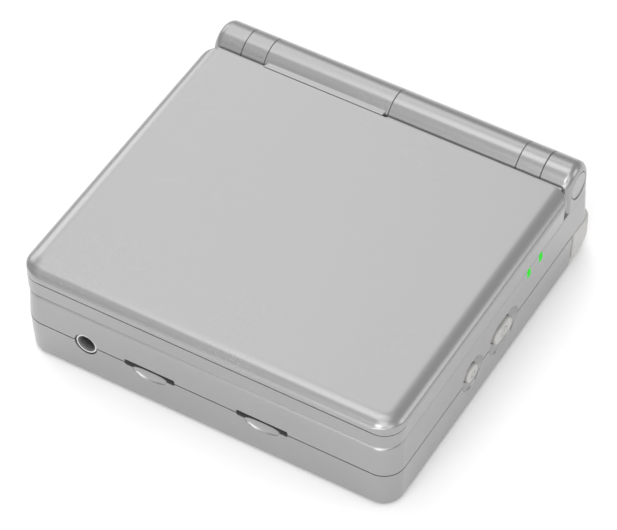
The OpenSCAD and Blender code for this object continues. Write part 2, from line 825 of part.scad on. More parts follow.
module base_upper_shell() {
    color([0.72, 0.72, 0.72])
    difference() {
        union() {
            difference() {
                union() {
                    loft(upper_stations, half_w, front, back, front_r, back_r);
                    ear();
                    mirror([1, 0, 0]) ear();
                }
                slab(half_w - wall, front + wall, back - wall, front_r - wall, back_r - wall,
                    seam_z - CUT, under_z);
                slab(half_w - rim_w, front + rim_w, lid_back + FIT, deck_r, 0.4, deck_z, rim_z + CUT);
                block(-ear_x, ear_x, lid_back - 2, back + CUT, deck_z, rim_z + CUT);
            }
            for (p = screw_places) post(p[0], p[1], boss_r, seam_z + SEAM, under_z + 0.2);
            for (s = [-1, 1], e = trigger_ends) {
                post(s * (e[0] + pin_end_in), trigger_pin_y, lug_r,
                    trigger_z + trigger_h + trigger_rise + 0.2, under_z + 0.2);
            }
            side_pads(seam_z + SEAM, seam_z + 4.2);
        }
        for (p = screw_places) post(p[0], p[1], screw_r + SEAT, seam_z - CUT, under_z - 0.4);
        for (s = [-1, 1], e = trigger_ends) {
            post(s * (e[0] + pin_end_in), trigger_pin_y, trigger_pin_r + SEAT, seam_z, under_z - 0.8);
        }
        for (s = [-1, 1]) mirror([s < 0 ? 1 : 0, 0, 0]) {
            trigger_room(1);
            hinge_rod(ear_x - CUT, pocket_end_x, pocket_r);
            hinge_rod(ear_end_x - cap_t, ear_end_x + CUT, cap_r);
        }
        block(tail_x[0] - FIT, tail_x[1] + FIT, hinge_y - flex_t - FIT, hinge_y + FIT,
            under_z - CUT, hinge_z);
        deck_holes();
        front_cuts();
        rear_cuts();
        side_cuts();
        light_cuts();
    }
}

bay = [battery_w / 2 + 0.5, battery_front - 0.5, battery_back + 0.5];
cover_hw = battery_w / 2 - cover_margin;
cover_y = [battery_front + cover_margin, battery_back - cover_margin];
cover_screw = [0, cover_y[0] - 4.4];

module battery_cover_plan(c) {
    plan(cover_hw + c, cover_y[0] - c, cover_y[1] + c, 1, 1);
    translate([cover_screw[0], cover_screw[1] + 2]) square([8 + 2 * c, 5 + 2 * c], center = true);
    translate(cover_screw) circle(r = 4 + c);
}

module base_lower_shell() {
    color([0.7, 0.7, 0.7])
    difference() {
        union() {
            difference() {
                loft(lower_stations, half_w, front, back, front_r, back_r);
                slab(half_w - wall, front + wall, back - wall, front_r - wall, back_r - wall,
                    floor_z, seam_z + CUT);
            }
            for (p = screw_places) post(p[0], p[1], lower_boss_r, floor_z - 0.2, seam_z - SEAM);
            difference() {
                block(-bay[0] - bay_wall, bay[0] + bay_wall, bay[1] - bay_wall, bay[2] + bay_wall,
                    floor_z - 0.2, floor_z + battery_t);
                block(-bay[0], bay[0], bay[1], bay[2], floor_z, seam_z);
            }
            post(cover_screw[0], cover_screw[1], 2.4, floor_z - 0.2, floor_z + 4);
            side_pads(floor_z - 0.2, seam_z - SEAM);
            for (s = [-1, 1], e = trigger_ends) {
                post(s * (e[0] + pin_end_in), trigger_pin_y, lug_r, floor_z - 0.2, floor_z + 0.15);
            }
        }
        translate([0, 0, base_z - CUT]) linear_extrude(floor_t + CUT) battery_cover_plan(cover_play);
        post(cover_screw[0], cover_screw[1], screw_r + SEAT, base_z, floor_z + 3);
        for (p = screw_places) {
            post(p[0], p[1], screw_r + SEAM, base_z - CUT, seam_z + CUT);
            post(p[0], p[1], head_r + FIT, base_z - CUT, base_z + 0.3 + head_t);
        }
        for (p = foot_places) post(p[0], p[1], foot_r + SEAT, base_z - CUT, base_z + foot_t - foot_proud);
        for (s = [-1, 1]) {
            trigger_room(s);
            mirror([s < 0 ? 1 : 0, 0, 0]) {
                block(trigger_in_x - PLAY, half_w + 1, notch_front, back + 1, floor_z + 0.15, seam_z + CUT);
                block(half_w - 1.9, half_w + 1, notch_front, back + 1, base_z - CUT, seam_z + CUT);
                block(trigger_in_x - PLAY, half_w + 1, back - 1.9, back + 1, base_z - CUT, seam_z + CUT);
            }
        }
        for (s = [-1, 1], e = trigger_ends) {
            post(s * (e[0] + pin_end_in), trigger_pin_y, trigger_pin_r + SEAT, floor_z - 0.6, seam_z);
        }
        for (x = slot_x) {
            translate([x, front, slot_z]) rotate([90, 0, 0]) translate([0, 0, -0.7]) linear_extrude(1 + CUT)
                scoop_outline();
        }
        front_cuts();
        rear_cuts();
        side_cuts();
    }
}

// Lower half of a thumb scoop, as a shallow arc under the slot
module scoop_outline() {
    intersection() {
        translate([0, scoop_w * scoop_w / 8 / scoop_h - scoop_h / 2])
            circle(r = scoop_w * scoop_w / 8 / scoop_h + scoop_h / 2);
        translate([-scoop_w, -scoop_h * 2]) square([scoop_w * 2, scoop_h * 2]);
    }
}

module base_screws() {
    color([0.55, 0.55, 0.57])
    for (p = screw_places) {
        post(p[0], p[1], head_r, base_z + 0.3, base_z + 0.3 + head_t);
        post(p[0], p[1], screw_r, base_z + 0.3, under_z - 0.8);
    }
}

module battery_cover() {
    color([0.7, 0.7, 0.7])
    difference() {
        translate([0, 0, base_z]) linear_extrude(floor_t - SEAM) battery_cover_plan(0);
        post(cover_screw[0], cover_screw[1], screw_r + SEAM, base_z - CUT, floor_z);
        post(cover_screw[0], cover_screw[1], head_r + SEAM, base_z - CUT, base_z + 0.6);
    }
}

module battery_cover_screw() {
    color([0.55, 0.55, 0.57]) {
        post(cover_screw[0], cover_screw[1], head_r, base_z + 0.05, base_z + 0.6 - SEAT);
        post(cover_screw[0], cover_screw[1], screw_r, base_z + 0.4, floor_z + 2.6);
    }
}

module battery() {
    color([0.15, 0.2, 0.35])
    block(-battery_w / 2, battery_w / 2, battery_front, battery_back,
        battery_z, battery_z + battery_t);
}

module battery_connector() {
    x = battery_w / 2;
    y = battery_back - 8;
    color([0.85, 0.83, 0.75]) {
        under_board([x + 2.2, y], link_size);
        block(x + SEAT, x + 0.4, y + 1, y + 3, battery_z + 1.25, board_z - 1.2);
        block(x, x + 2.3, y + 1, y + 3, board_z - 1.6, board_z - 1.2);
    }
}

module feet() {
    color([0.35, 0.35, 0.36])
    for (p = foot_places) post(p[0], p[1], foot_r, 0, foot_t);
}

// ---- Electronics ----

board_hw = half_w - wall - side_pad - board_play - 0.9;

module main_board() {
    color([0.05, 0.3, 0.15])
    difference() {
        union() {
            block(-board_hw, board_hw, front + wall + board_play, board_back, board_z, board_top);
            block(-tongue_w / 2, tongue_w / 2, board_back - 1, back - wall - board_play,
                board_z, board_top);
        }
        for (p = screw_places) post(p[0], p[1], boss_r + PLAY, board_z - CUT, board_top + CUT);
    }
}

// Block under the board, with its near left corner at a place
module under_board(at, size) {
    block(at[0], at[0] + size[0], at[1], at[1] + size[1], board_z - size[2], board_z - SEAT);
}

// Block on the board, with its near left corner at a place
module on_board(at, size) {
    block(at[0], at[0] + size[0], at[1], at[1] + size[1], board_top + SEAT, board_top + size[2]);
}

module processor_shield() {
    color([0.75, 0.76, 0.78])
    under_board(shield_at, shield_size);
}

module board_chips() {
    color([0.08, 0.08, 0.09]) {
        under_board(chip_at, chip_size);
        under_board(memory_at, memory_size);
        on_board([magnet_x - sensor_size[0] / 2, magnet_y - magnet_r - 0.1 - sensor_size[1]], sensor_size);
        for (y = light_y) on_board([board_hw - 0.2 - lamp_size[0], y - lamp_size[1] / 2], lamp_size);
    }
}

module display_connector() {
    color([0.85, 0.83, 0.75])
    on_board([tail_x[0] - 0.2, board_back - 4.2], [tail_x[1] - tail_x[0] + 0.8, 3.3 - SEAT, 1.2]);
}

module wireless_antenna() {
    color([0.75, 0.6, 0.2])
    on_board([antenna_at[0] - board_hw, antenna_at[1]], antenna_size);
}

module speaker() {
    color([0.12, 0.12, 0.13])
    translate([speaker_x, speaker_y, board_top + SEAT]) linear_extrude(board_room - 0.4)
        stadium(speaker_size[0], speaker_size[1]);
}

module speaker_gauze() {
    color([0.1, 0.1, 0.1])
    translate([speaker_x, speaker_y, under_z - gauze_size[2] - SEAM / 2]) linear_extrude(gauze_size[2])
        square([gauze_size[0], gauze_size[1]], center = true);
}

module vibration_motor() {
    color([0.6, 0.6, 0.62])
    post(motor_at[0], motor_at[1], motor_r, board_z - motor_t, board_z - SEAT);
}

// ---- Controls on the deck ----

module dpad() {
    color([0.8, 0.79, 0.78])
    difference() {
        union() {
            for (a = [0, 90]) translate([-pad_x, pad_y, dpad_flange_z + 0.2]) rotate([0, 0, a])
                linear_extrude(deck_z + control_proud - dpad_flange_z - 0.2)
                    square([dpad_l, dpad_w], center = true);
            post(-pad_x, pad_y, dpad_flange_r, dpad_flange_z, dpad_flange_z + flange_t);
        }
        translate([-pad_x, pad_y, deck_z + control_proud + 9.4]) sphere(r = 10);
        post(-pad_x, pad_y, pivot_r + SEAM, dpad_flange_z - CUT, dpad_flange_z + pivot_r);
    }
}

module dpad_pivot() {
    color([0.6, 0.6, 0.62])
    translate([-pad_x, pad_y, dpad_flange_z - 0.05]) sphere(r = pivot_r - 0.05);
}

module membrane(x, y, w, d, domes) {
    translate([x, y, board_top + SEAT]) linear_extrude(pad_t) square([w, d], center = true);
    for (p = domes) post(x + p[0], y + p[1], p[2], board_top + SEAT, board_top + pad_t + dome_t);
}

module dpad_membrane() {
    color([0.5, 0.5, 0.5])
    membrane(-pad_x, pad_y, pad_size, pad_size,
        [for (p = face_spots) [p[0] * dpad_l / 3, p[1] * dpad_l / 3, dome_r]]);
}

module face_button(i) {
    p = face_spots[i];
    color([0.8, 0.79, 0.78])
    translate([pad_x + p[0] * button_pitch, pad_y + p[1] * button_pitch, 0]) {
        post(0, 0, button_r + flange_w, flange_z, flange_z + flange_t);
        post(0, 0, 1.6, board_top + pad_t + dome_t + button_travel + 0.1, flange_z + 0.1);
        translate([0, 0, flange_z]) rotate_extrude() polygon([
            [0, 0], [button_r, 0], [button_r, deck_z + control_proud - flange_z - 0.4],
            [button_r - 0.3, deck_z + control_proud - flange_z - 0.1],
            [button_r - 1.2, deck_z + control_proud - flange_z],
            [0, deck_z + control_proud - flange_z]]);
    }
}

module button_east() face_button(0);
module button_south() face_button(1);
module button_north() face_button(2);
module button_west() face_button(3);

module face_membrane() {
    color([0.5, 0.5, 0.5])
    membrane(pad_x, pad_y, pad_size, pad_size,
        [for (p = face_spots) [p[0] * button_pitch, p[1] * button_pitch, dome_r]]);
}

module pill_button(s) {
    color([0.8, 0.79, 0.78])
    translate([s * pill_x, pill_y, 0]) {
        translate([0, 0, flange_z]) linear_extrude(flange_t) stadium(pill_l + 1.2, pill_w + 1.2);
        translate([0, 0, flange_z]) linear_extrude(deck_z + control_proud - 0.3 - flange_z)
            stadium(pill_l, pill_w);
        post(0, 0, 1, board_top + pad_t + dome_t + button_travel + 0.1, flange_z + 0.1);
    }
}

module start_button() pill_button(1);
module select_button() pill_button(-1);

module menu_button() {
    color([0.8, 0.79, 0.78]) {
        post(0, pad_y, menu_r + 0.7, flange_z, flange_z + flange_t);
        post(0, pad_y, menu_r, flange_z, deck_z + control_proud - 0.3);
        post(0, pad_y, 1, board_top + pad_t + dome_t + button_travel + 0.1, flange_z + 0.1);
    }
}

module menu_membrane() {
    color([0.5, 0.5, 0.5]) {
        membrane(0, pill_y, 2 * pill_x + 2 * strap_w, 2 * strap_w,
            [[-pill_x, 0, small_dome_r], [pill_x, 0, small_dome_r]]);
        membrane(0, (pad_y + pill_y) / 2, strap_w, pill_front, []);
        membrane(0, pad_y, 2 * strap_w, 2 * strap_w, [[0, 0, small_dome_r]]);
    }
}

// ---- Triggers and side controls ----

module trigger(i) {
    x0 = trigger_ends[i][0];
    x1 = trigger_ends[i][1];
    pin_x = x0 + pin_end_in;
    color([0.8, 0.79, 0.77])
    difference() {
        union() {
            difference() {
                intersection() {
                    trigger_profile(x0, x1, 0);
                    slab(half_w - FIT, front, back + trigger_proud, front_r, back_r, 0, rim_z);
                }
                block(x0 + trigger_wall, x1 - trigger_wall, trigger_front - 1,
                    back + trigger_proud - trigger_wall, trigger_z + 1, trigger_z + trigger_h - 1);
            }
            post(pin_x, trigger_pin_y, lug_r, trigger_z + trigger_h - 3, trigger_z + trigger_h - 0.5);
            block(x0 + trigger_lever[0], x0 + trigger_lever[1], switch_tip_y + 0.8, back,
                trigger_z + 3, board_z - 1.2);
        }
        post(pin_x, trigger_pin_y, trigger_pin_r + RUN, trigger_z - CUT, rim_z);
    }
}

switch_tip_y = trigger_front + 0.6;

module trigger_r1() trigger(0);
module trigger_r2() trigger(1);
module trigger_l1() mirror([1, 0, 0]) trigger(0);
module trigger_l2() mirror([1, 0, 0]) trigger(1);

module trigger_pins() {
    color([0.6, 0.6, 0.62])
    for (s = [-1, 1], e = trigger_ends) {
        post(s * (e[0] + pin_end_in), trigger_pin_y, trigger_pin_r, floor_z - 0.5, under_z - 1);
    }
}

spring_wire_r = 0.25;
spring_leg = 3.4;

// Close-wound torsion springs round the trigger pins
module trigger_springs() {
    color([0.6, 0.6, 0.62])
    for (s = [-1, 1], e = trigger_ends) {
        translate([s * (e[0] + pin_end_in), trigger_pin_y, trigger_z + 1.5]) {
            for (k = [0 : 4]) translate([0, 0, 2 * spring_wire_r * k * 0.96]) rotate_extrude()
                translate([trigger_pin_r + spring_wire_r + 0.1, 0]) circle(r = spring_wire_r, $fn = 16);
            translate([0, -spring_leg, 0]) rotate([-90, 0, 0])
                cylinder(r = spring_wire_r, h = spring_leg - trigger_pin_r - 0.1, $fn = 16);
        }
    }
}

// Small push switches under the board for triggers, power, reset and volume
module side_switches() {
    body_t = switch_size[2];
    color([0.1, 0.1, 0.11]) {
        for (s = [-1, 1], e = trigger_ends) translate([s * (e[0] + switch_in), 0, 0]) {
            under_board([-switch_size[0] / 2, board_back - 0.2 - switch_size[1]], switch_size);
            block(-plunger_w / 2, plunger_w / 2, board_back - 0.4, switch_tip_y,
                board_z - body_t + 0.7, board_z - 0.9);
        }
        for (y = [power_y, reset_y]) {
            block(board_hw - 3.6, board_hw, y - 2, y + 2, board_z - body_t, board_z - SEAT);
            block(board_hw - 0.2, stem_end_x - 0.5, y - plunger_w / 2, y + plunger_w / 2,
                board_z - plunger_z[0], board_z - plunger_z[1]);
        }
        for (e = [-1, 1]) translate([0, volume_y + e * volume_l / 3, 0]) {
            block(-board_hw, -board_hw + 3.6, -2, 2, board_z - body_t, board_z - SEAT);
            block(-half_w + wall + 1.8, -board_hw + 0.2, -plunger_w / 2, plunger_w / 2,
                board_z - plunger_z[0], board_z - plunger_z[1]);
        }
    }
}

module side_button(y, l) {
    color([0.8, 0.79, 0.78]) {
        side_stadium(stem_end_x + 0.5, side_face_x, y, button_z, l, side_button_h);
        side_stadium(stem_end_x, stem_end_x + 0.55, y, button_z, l + 1.2, side_button_h + 1.2);
    }
}

module power_button() side_button(power_y, power_l);
module reset_button() side_button(reset_y, reset_l);

module volume_rocker() {
    color([0.8, 0.79, 0.78]) {
        side_stadium(-half_w - 0.25, -half_w + wall + 0.8, volume_y, button_z, volume_l, volume_h);
        side_stadium(-half_w + wall + 0.55, -half_w + wall + 1.2, volume_y, button_z,
            volume_l + 1.6, volume_h + 1.4);
    }
}

// ---- Ports and lights ----

module headphone_socket() {
    y0 = front + 0.35;
    y1 = front + wall + 0.2;
    color([0.75, 0.76, 0.77])
    difference() {
        union() {
            translate([-jack_x, y0, jack_z]) rotate([-90, 0, 0])
                cylinder(r = jack_nose_r, h = nose_l + 0.2);
            block(-jack_x - jack_w / 2, -jack_x + jack_w / 2, y1, y1 + jack_depth + 0.6,
                2 * jack_z - board_z + SEAT, board_z - SEAT);
        }
        translate([-jack_x, y0 - CUT, jack_z]) rotate([-90, 0, 0])
            cylinder(r = jack_bore_r, h = jack_depth + CUT);
    }
}

module card_sockets() {
    y0 = front + wall + 0.15;
    color([0.62, 0.63, 0.65])
    for (x = slot_x) difference() {
        block(x - socket_w / 2, x + socket_w / 2, y0, y0 + socket_d,
            slot_z - slot_h / 2 - 0.3, board_z - SEAT);
        block(x - slot_w / 2 + 0.2, x + slot_w / 2 - 0.2, y0 - CUT, y0 + socket_d - 0.8,
            slot_z - slot_h / 2 + 0.1, slot_z + slot_h / 2 - 0.1);
    }
}

module rear_sockets() {
    y1 = back - 0.3;
    color([0.72, 0.73, 0.75])
    for (i = [0, 1]) translate([port_x[i], y1, port_z - SEAT]) rotate([90, 0, 0]) {
        difference() {
            linear_extrude(port_d) stadium(port_w[i], port_h);
            translate([0, 0, -CUT]) linear_extrude(port_d - 0.8 + CUT)
                stadium(port_w[i] - 0.7, port_h - 0.7);
        }
        translate([0, 0, 0.6]) linear_extrude(port_d - 1) square([port_w[i] - 3.2, 0.7], center = true);
    }
}

// Clear bars that carry the light to the shoulder of the rim
module status_lights() {
    color([0.2, 0.9, 0.2])
    for (y = light_y) {
        intersection() {
            loft(upper_stations, half_w, front, back, front_r, back_r);
            block(half_w - wall - 0.3, half_w + CUT, y - light_w / 2, y + light_w / 2,
                light_z + SEAT, rim_z + CUT);
        }
        block(light_leg_x[0], light_leg_x[1], y - light_w / 2, y + light_w / 2,
            board_top + 0.2, rim_z - 0.6);
        block(board_hw + 0.2, light_leg_x[1], y - light_w / 2, y + light_w / 2,
            board_top + 0.2, board_top + 1);
    }
}

lid_back_cover();
lid_bezel();
barrel_cover_left();
barrel_cover_right();
screen_lens();
screen_gasket();
display_panel();
display_foam();
display_flex_cable();
lid_screws();
lid_bumpers();
lid_magnet();
hinge_cam();
hinge_cartridge();
hinge_bush();
hinge_cap_left();
hinge_cap_right();
hinge_flex_tail();
base_upper_shell();
base_lower_shell();
base_screws();
battery_cover();
battery_cover_screw();
battery();
battery_connector();
feet();
main_board();
processor_shield();
board_chips();
display_connector();
wireless_antenna();
speaker();
speaker_gauze();
vibration_motor();
dpad();
dpad_pivot();
dpad_membrane();
button_east();
button_south();
button_north();
button_west();
face_membrane();
start_button();
select_button();
menu_button();
menu_membrane();
trigger_l1();
trigger_l2();
trigger_r1();
trigger_r2();
trigger_pins();
trigger_springs();
side_switches();
power_button();
reset_button();
volume_rocker();
headphone_socket();
card_sockets();
rear_sockets();
status_lights();
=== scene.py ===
"""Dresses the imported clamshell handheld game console: its painted shells, keys, screen and stage."""

import json
import math

import bpy
import numpy as np
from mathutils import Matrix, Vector


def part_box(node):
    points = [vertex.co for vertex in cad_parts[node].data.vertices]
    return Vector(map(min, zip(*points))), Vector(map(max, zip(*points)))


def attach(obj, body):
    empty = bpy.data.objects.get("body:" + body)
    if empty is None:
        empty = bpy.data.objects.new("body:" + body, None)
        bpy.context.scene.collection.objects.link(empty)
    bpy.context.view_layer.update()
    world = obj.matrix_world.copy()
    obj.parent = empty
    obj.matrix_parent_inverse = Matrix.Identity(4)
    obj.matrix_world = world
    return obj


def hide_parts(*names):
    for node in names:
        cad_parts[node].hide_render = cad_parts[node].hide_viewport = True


bl_info = {
    "name": "Clamshell handheld",
    "version": (1, 0, 0),
    "blender": (4, 5, 0),
    "location": "3D View > Sidebar > Handheld",
    "description": "Builds the shells, controls, screen and stage of a clamshell handheld game console",
    "category": "Object",
}

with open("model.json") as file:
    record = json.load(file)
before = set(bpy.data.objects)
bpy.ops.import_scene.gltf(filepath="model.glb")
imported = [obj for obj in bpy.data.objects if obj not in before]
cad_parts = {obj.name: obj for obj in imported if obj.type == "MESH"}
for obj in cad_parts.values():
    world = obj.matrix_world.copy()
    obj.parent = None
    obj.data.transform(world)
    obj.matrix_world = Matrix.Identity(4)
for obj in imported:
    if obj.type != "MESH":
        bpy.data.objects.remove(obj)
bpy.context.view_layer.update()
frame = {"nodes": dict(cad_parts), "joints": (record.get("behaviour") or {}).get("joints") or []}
MM = 0.001


# ---- Sizes, in millimetres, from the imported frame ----


def span(node):
    """Lowest and highest corner of a CAD node, in millimetres."""
    low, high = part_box(node)
    return np.array(low) / MM, np.array(high) / MM


def joint_place(name):
    """Point on a joint's axis, in millimetres."""
    for joint in frame["joints"]:
        if joint["name"] == name:
            return np.array(joint["pos_m"], float) / MM
    raise RuntimeError(f"the frame has no joint named {name}")


lower_low, lower_high = span("base_lower_shell")
cover_low, cover_high = span("lid_back_cover")
lens_low, lens_high = span("screen_lens")
cap_low, cap_high = span("hinge_cap_right")

HALF = lower_high[0]
FRONT, BACK = lower_low[1], lower_high[1]
FLOOR, SPLIT = lower_low[2], lower_high[2]
LID_LOW, LID_SPLIT, LID_TOP = lens_low[2] - 0.02, cover_low[2], cover_high[2]
RIM = LID_LOW - 0.4
DECK = RIM - 1
WALL, LID_WALL = 1.5, 1.2
LID_HALF, LID_FRONT, LID_BACK = HALF - 0.15, FRONT - 0.1, cover_high[1]
SEAM, EDGE = 0.13, 0.08
ARC = 14

HINGE = HINGE_Y, HINGE_Z = joint_place("lid_hinge")[1:]
BARREL_R, CAP_R = 4.92, 2.98
EAR_END = cap_high[0]
EAR_X = EAR_END - 6.9
RING_X = EAR_X - 5.7

SLOT_HALF, SLOT_Z = (5.85, 0.75), SPLIT + 0.15
JACK, JACK_HOLE_R, BORE_R = np.array([-27.8, 9.9]), 2.63, 1.75
LIGHT_HALF, LIGHT_YS = (0.75, 1.05), (13.75, 18.85)
DISHES = (("power_button", 6.2), ("reset_button", 4.2))
SIDE_FLANGE, ROCKER_FLANGE = 1.2, (1.6, 1.4)
MARK_DEPTH = 0.2
TRIGGER_GAP = 0.3
SCREW_R = 1.5
FACE_KEYS = ("button_east", "button_south", "button_north", "button_west")
PILL_KEYS = ("start_button", "select_button")


def node_middle(node):
    """Middle of a CAD node in X and Y."""
    return sum(span(node))[:2] / 2


def node_radius(node):
    """Half a CAD node's width."""
    low, high = span(node)
    return (high[0] - low[0]) / 2


def side_size(node, flange):
    """Middle of a side key in Y and Z, and its size there without the flange round its foot."""
    low, high = span(node)
    return (low + high)[1:] / 2, (high - low)[1:] - flange


# ---- Outlines: closed arrays of points on a plane, counterclockwise ----


def arc(x, y, r, start, turn=90, steps=ARC):
    """Circle arc about (x, y) from the start angle, in degrees."""
    a = np.radians(np.linspace(start, start + turn, steps + 1))
    return np.stack([x + r * np.cos(a), y + r * np.sin(a)], 1)


def panel(hw, y0, y1, r0, r1):
    """Rectangle from -hw to hw and y0 to y1, with corner radius r0 at y0 and r1 at y1."""
    return np.concatenate([
        arc(hw - r0, y0 + r0, r0, -90),
        arc(hw - r1, y1 - r1, r1, 0),
        arc(-hw + r1, y1 - r1, r1, 90),
        arc(-hw + r0, y0 + r0, r0, 180),
    ])


def box_outline(x0, x1, y0, y1, r=0.05):
    """Rectangle between two corners, with small round corners."""
    return panel((x1 - x0) / 2, y0, y1, r, r) + [(x0 + x1) / 2, 0]


def pill(length, width):
    """Two half circles joined by straight sides, long along the first axis."""
    return panel(length / 2, -width / 2, width / 2, width / 2, width / 2)


def disc(r):
    """Circle of radius r."""
    return arc(0, 0, r, 0, 360, 4 * ARC + 4)[:-1]


def turned(outline, degrees):
    """Outline turned counterclockwise about the origin."""
    a = math.radians(degrees)
    return outline @ [[math.cos(a), math.sin(a)], [-math.sin(a), math.cos(a)]]


def cross(length, width, r):
    """Plus sign with arm corners of radius r and small fillets between its arms."""
    a, b, f = length / 2, width / 2, 0.5
    quarter = np.concatenate([
        arc(a - r, -b + r, r, -90),
        arc(a - r, b - r, r, 0),
        arc(b + f, b + f, f, -90, -90),
    ])
    return np.concatenate([turned(quarter, k) for k in (0, 90, 180, 270)])


# ---- Solids: (points in millimetres, faces) with every face pointing outwards ----


def skin(rings, looped=False):
    """Closed skin over a stack of rings of equal count: a quad between each two points of neighbouring rings,
    with flat ends, or with the last ring joined to the first. The sign of its volume says which way round it
    goes, and it is turned if that is inwards."""
    rings = np.asarray(rings, float)
    count, n = rings.shape[:2]
    points = rings.reshape(-1, 3)
    i = np.arange(count if looped else count - 1)[:, None] * n
    j = np.arange(n)[None, :]
    k = (j + 1) % n
    above = (i + n) % (count * n)
    quads = np.stack(np.broadcast_arrays(i + j, i + k, above + k, above + j), -1).reshape(-1, 4)
    corners = [quads[:, :3], quads[:, [0, 2, 3]]]
    faces = quads.tolist()
    if not looped:
        for ring in (np.arange(n)[::-1], np.arange((count - 1) * n, count * n)):
            faces.append(ring.tolist())
            corners.append(np.stack([np.full(n - 2, ring[0]), ring[1:-1], ring[2:]], 1))
    a, b, c = points[np.concatenate(corners)].transpose(1, 0, 2)
    if np.einsum("ij,ij->", a - points[0], np.cross(b - points[0], c - points[0])) < 0:
        faces = [face[::-1] for face in faces]
    return points, faces


def together(*solids):
    """Several solids as one, side by side."""
    points, faces, start = [], [], 0
    for some_points, some_faces in solids:
        points.append(some_points)
        faces += [[start + k for k in face] for face in some_faces]
        start += len(some_points)
    return np.concatenate(points), faces


def laid(outline, height, axis):
    """Outline as points in space: on a level plane for axis z, on a side wall for x, on a front wall for y."""
    u, v = np.asarray(outline).T
    h = np.full(len(u), float(height)) if np.isscalar(height) else height
    return np.stack({"z": (u, v, h), "x": (h, u, v), "y": (u, h, v)}[axis], 1)


def stack(outline, levels, axis="z", at=(0, 0)):
    """Solid through an outline at each (inset, height) level, where outline(inset) gives the points."""
    return skin([laid(outline(inset) + at, height, axis) for inset, height in levels])


def prism(outline, low, high, axis="z", at=(0, 0)):
    """Solid through one outline between two heights."""
    return skin([laid(outline + at, height, axis) for height in (low, high)])


def soft_edges(low, high, r_low=EDGE, r_high=EDGE, steps=4):
    """Levels of a prism whose two end edges are rounded by a quarter circle from the wall to the end face."""
    a = np.radians(np.linspace(0, 90, steps + 1))
    start = [(r_low * (1 - math.sin(t)), low + r_low * (1 - math.cos(t))) for t in a]
    end = [(r_high * (1 - math.cos(t)), high - r_high + r_high * math.sin(t)) for t in a]
    return start + end


def crowned(outline, levels, rise, axis="z", at=(0, 0), steps=10):
    """Solid like stack(), whose last face swells or sinks by rise in a parabola towards its middle."""
    inset, high = levels[-1]
    edge = outline(inset)
    sizes = np.linspace(1, 0.06, steps)[1:]
    rings = [laid(outline(i) + at, h, axis) for i, h in levels]
    rings += [laid(edge * s + at, high + rise * (1 - s * s), axis) for s in sizes]
    return skin(rings)


def flared(outline, inner, wall, axis, at, out=1):
    """Cutter for an opening in a wall at height wall, from inner to beyond it, flared by EDGE at the wall's
    face. out is the outward direction along the axis."""
    levels = [(0, inner), (0, wall - out * EDGE), (-EDGE, wall), (-EDGE, wall + out)]
    return stack(outline, levels, axis, at)


def bowl(centre, radii, rows=24, columns=48):
    """Ellipsoid about a centre: circles of latitude shrunk by the cosine, with flat little end caps."""
    lat = np.radians(np.linspace(-88, 88, rows))[:, None]
    lon = np.radians(np.linspace(0, 360, columns, endpoint=False))[None, :]
    rings = np.stack(np.broadcast_arrays(
        np.cos(lat) * np.cos(lon), np.cos(lat) * np.sin(lon), np.sin(lat)), -1)
    return skin(rings * radii + centre)


def brick(low, high):
    """Plain box cutter between two corners."""
    return prism(box_outline(low[0], high[0], low[1], high[1], 0.01), low[2], high[2])


def mirrored(solid, signs=(-1, 1, 1)):
    """The same solid on the other side of the middle plane, or of the plane that the signs give."""
    points, faces = solid
    return points * signs, [face[::-1] for face in faces]


# ---- Meshes and pieces ----


def new_object(name, data):
    """Object at the origin with a mesh, camera or light."""
    obj = bpy.data.objects.new(name, data)
    bpy.context.scene.collection.objects.link(obj)
    return obj


def mesh_object(name, solid):
    """Object with a solid's mesh, in metres."""
    mesh = bpy.data.meshes.new(name)
    mesh.from_pydata(solid[0] * MM, [], solid[1])
    return new_object(name, mesh)


def mesh_points(mesh):
    """Points of a mesh, in millimetres."""
    points = np.empty(len(mesh.vertices) * 3)
    mesh.vertices.foreach_get("co", points)
    return points.reshape(-1, 3) / MM


def mesh_solid(mesh):
    """Points and faces of a mesh, which is then deleted."""
    points, faces = mesh_points(mesh), [list(face.vertices) for face in mesh.polygons]
    bpy.data.meshes.remove(mesh)
    return points, faces


def carved(solid, cuts=(), adds=(), keep=()):
    """Mesh of a solid with the adds joined to it, the cuts cut from it and only what lies in keep kept."""
    body = mesh_object("work", solid)
    tools = []
    for mode, others in (("UNION", adds), ("DIFFERENCE", cuts), ("INTERSECT", keep)):
        for other in others:
            tool = mesh_object("tool", other)
            tools.append(tool)
            step = body.modifiers.new(mode.lower(), "BOOLEAN")
            step.operation, step.solver, step.object = mode, "MANIFOLD", tool
    bpy.context.view_layer.update()
    seen = body.evaluated_get(bpy.context.evaluated_depsgraph_get())
    mesh = bpy.data.meshes.new_from_object(seen)
    if len(mesh.polygons) < 4:
        raise RuntimeError("a cut left no solid")
    for obj in (body, *tools):
        old = obj.data
        bpy.data.objects.remove(obj)
        bpy.data.meshes.remove(old)
    return mesh


SHARP_ANGLE = math.radians(32)


def piece(name, shape, body, node, finish):
    """Finished piece: a solid or mesh that rides on a body, stands for a CAD node and has a named finish."""
    obj = mesh_object(name, shape) if isinstance(shape, tuple) else new_object(name, shape)
    obj.data.name = name
    obj.data.shade_smooth()
    obj.data.set_sharp_from_angle(angle=SHARP_ANGLE)
    weigh = obj.modifiers.new("weighted normals", "WEIGHTED_NORMAL")
    weigh.keep_sharp = True
    obj.data.materials.clear()
    obj.data.materials.append(finishes[finish])
    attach(obj, body)
    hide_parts(node)
    return obj


# ---- Finishes ----


finishes = {}


def feed(tree, socket, value):
    """Puts a number, colour, vector or wire into a socket."""
    if isinstance(value, Wire):
        tree.links.new(value.socket, socket)
    else:
        socket.default_value = value


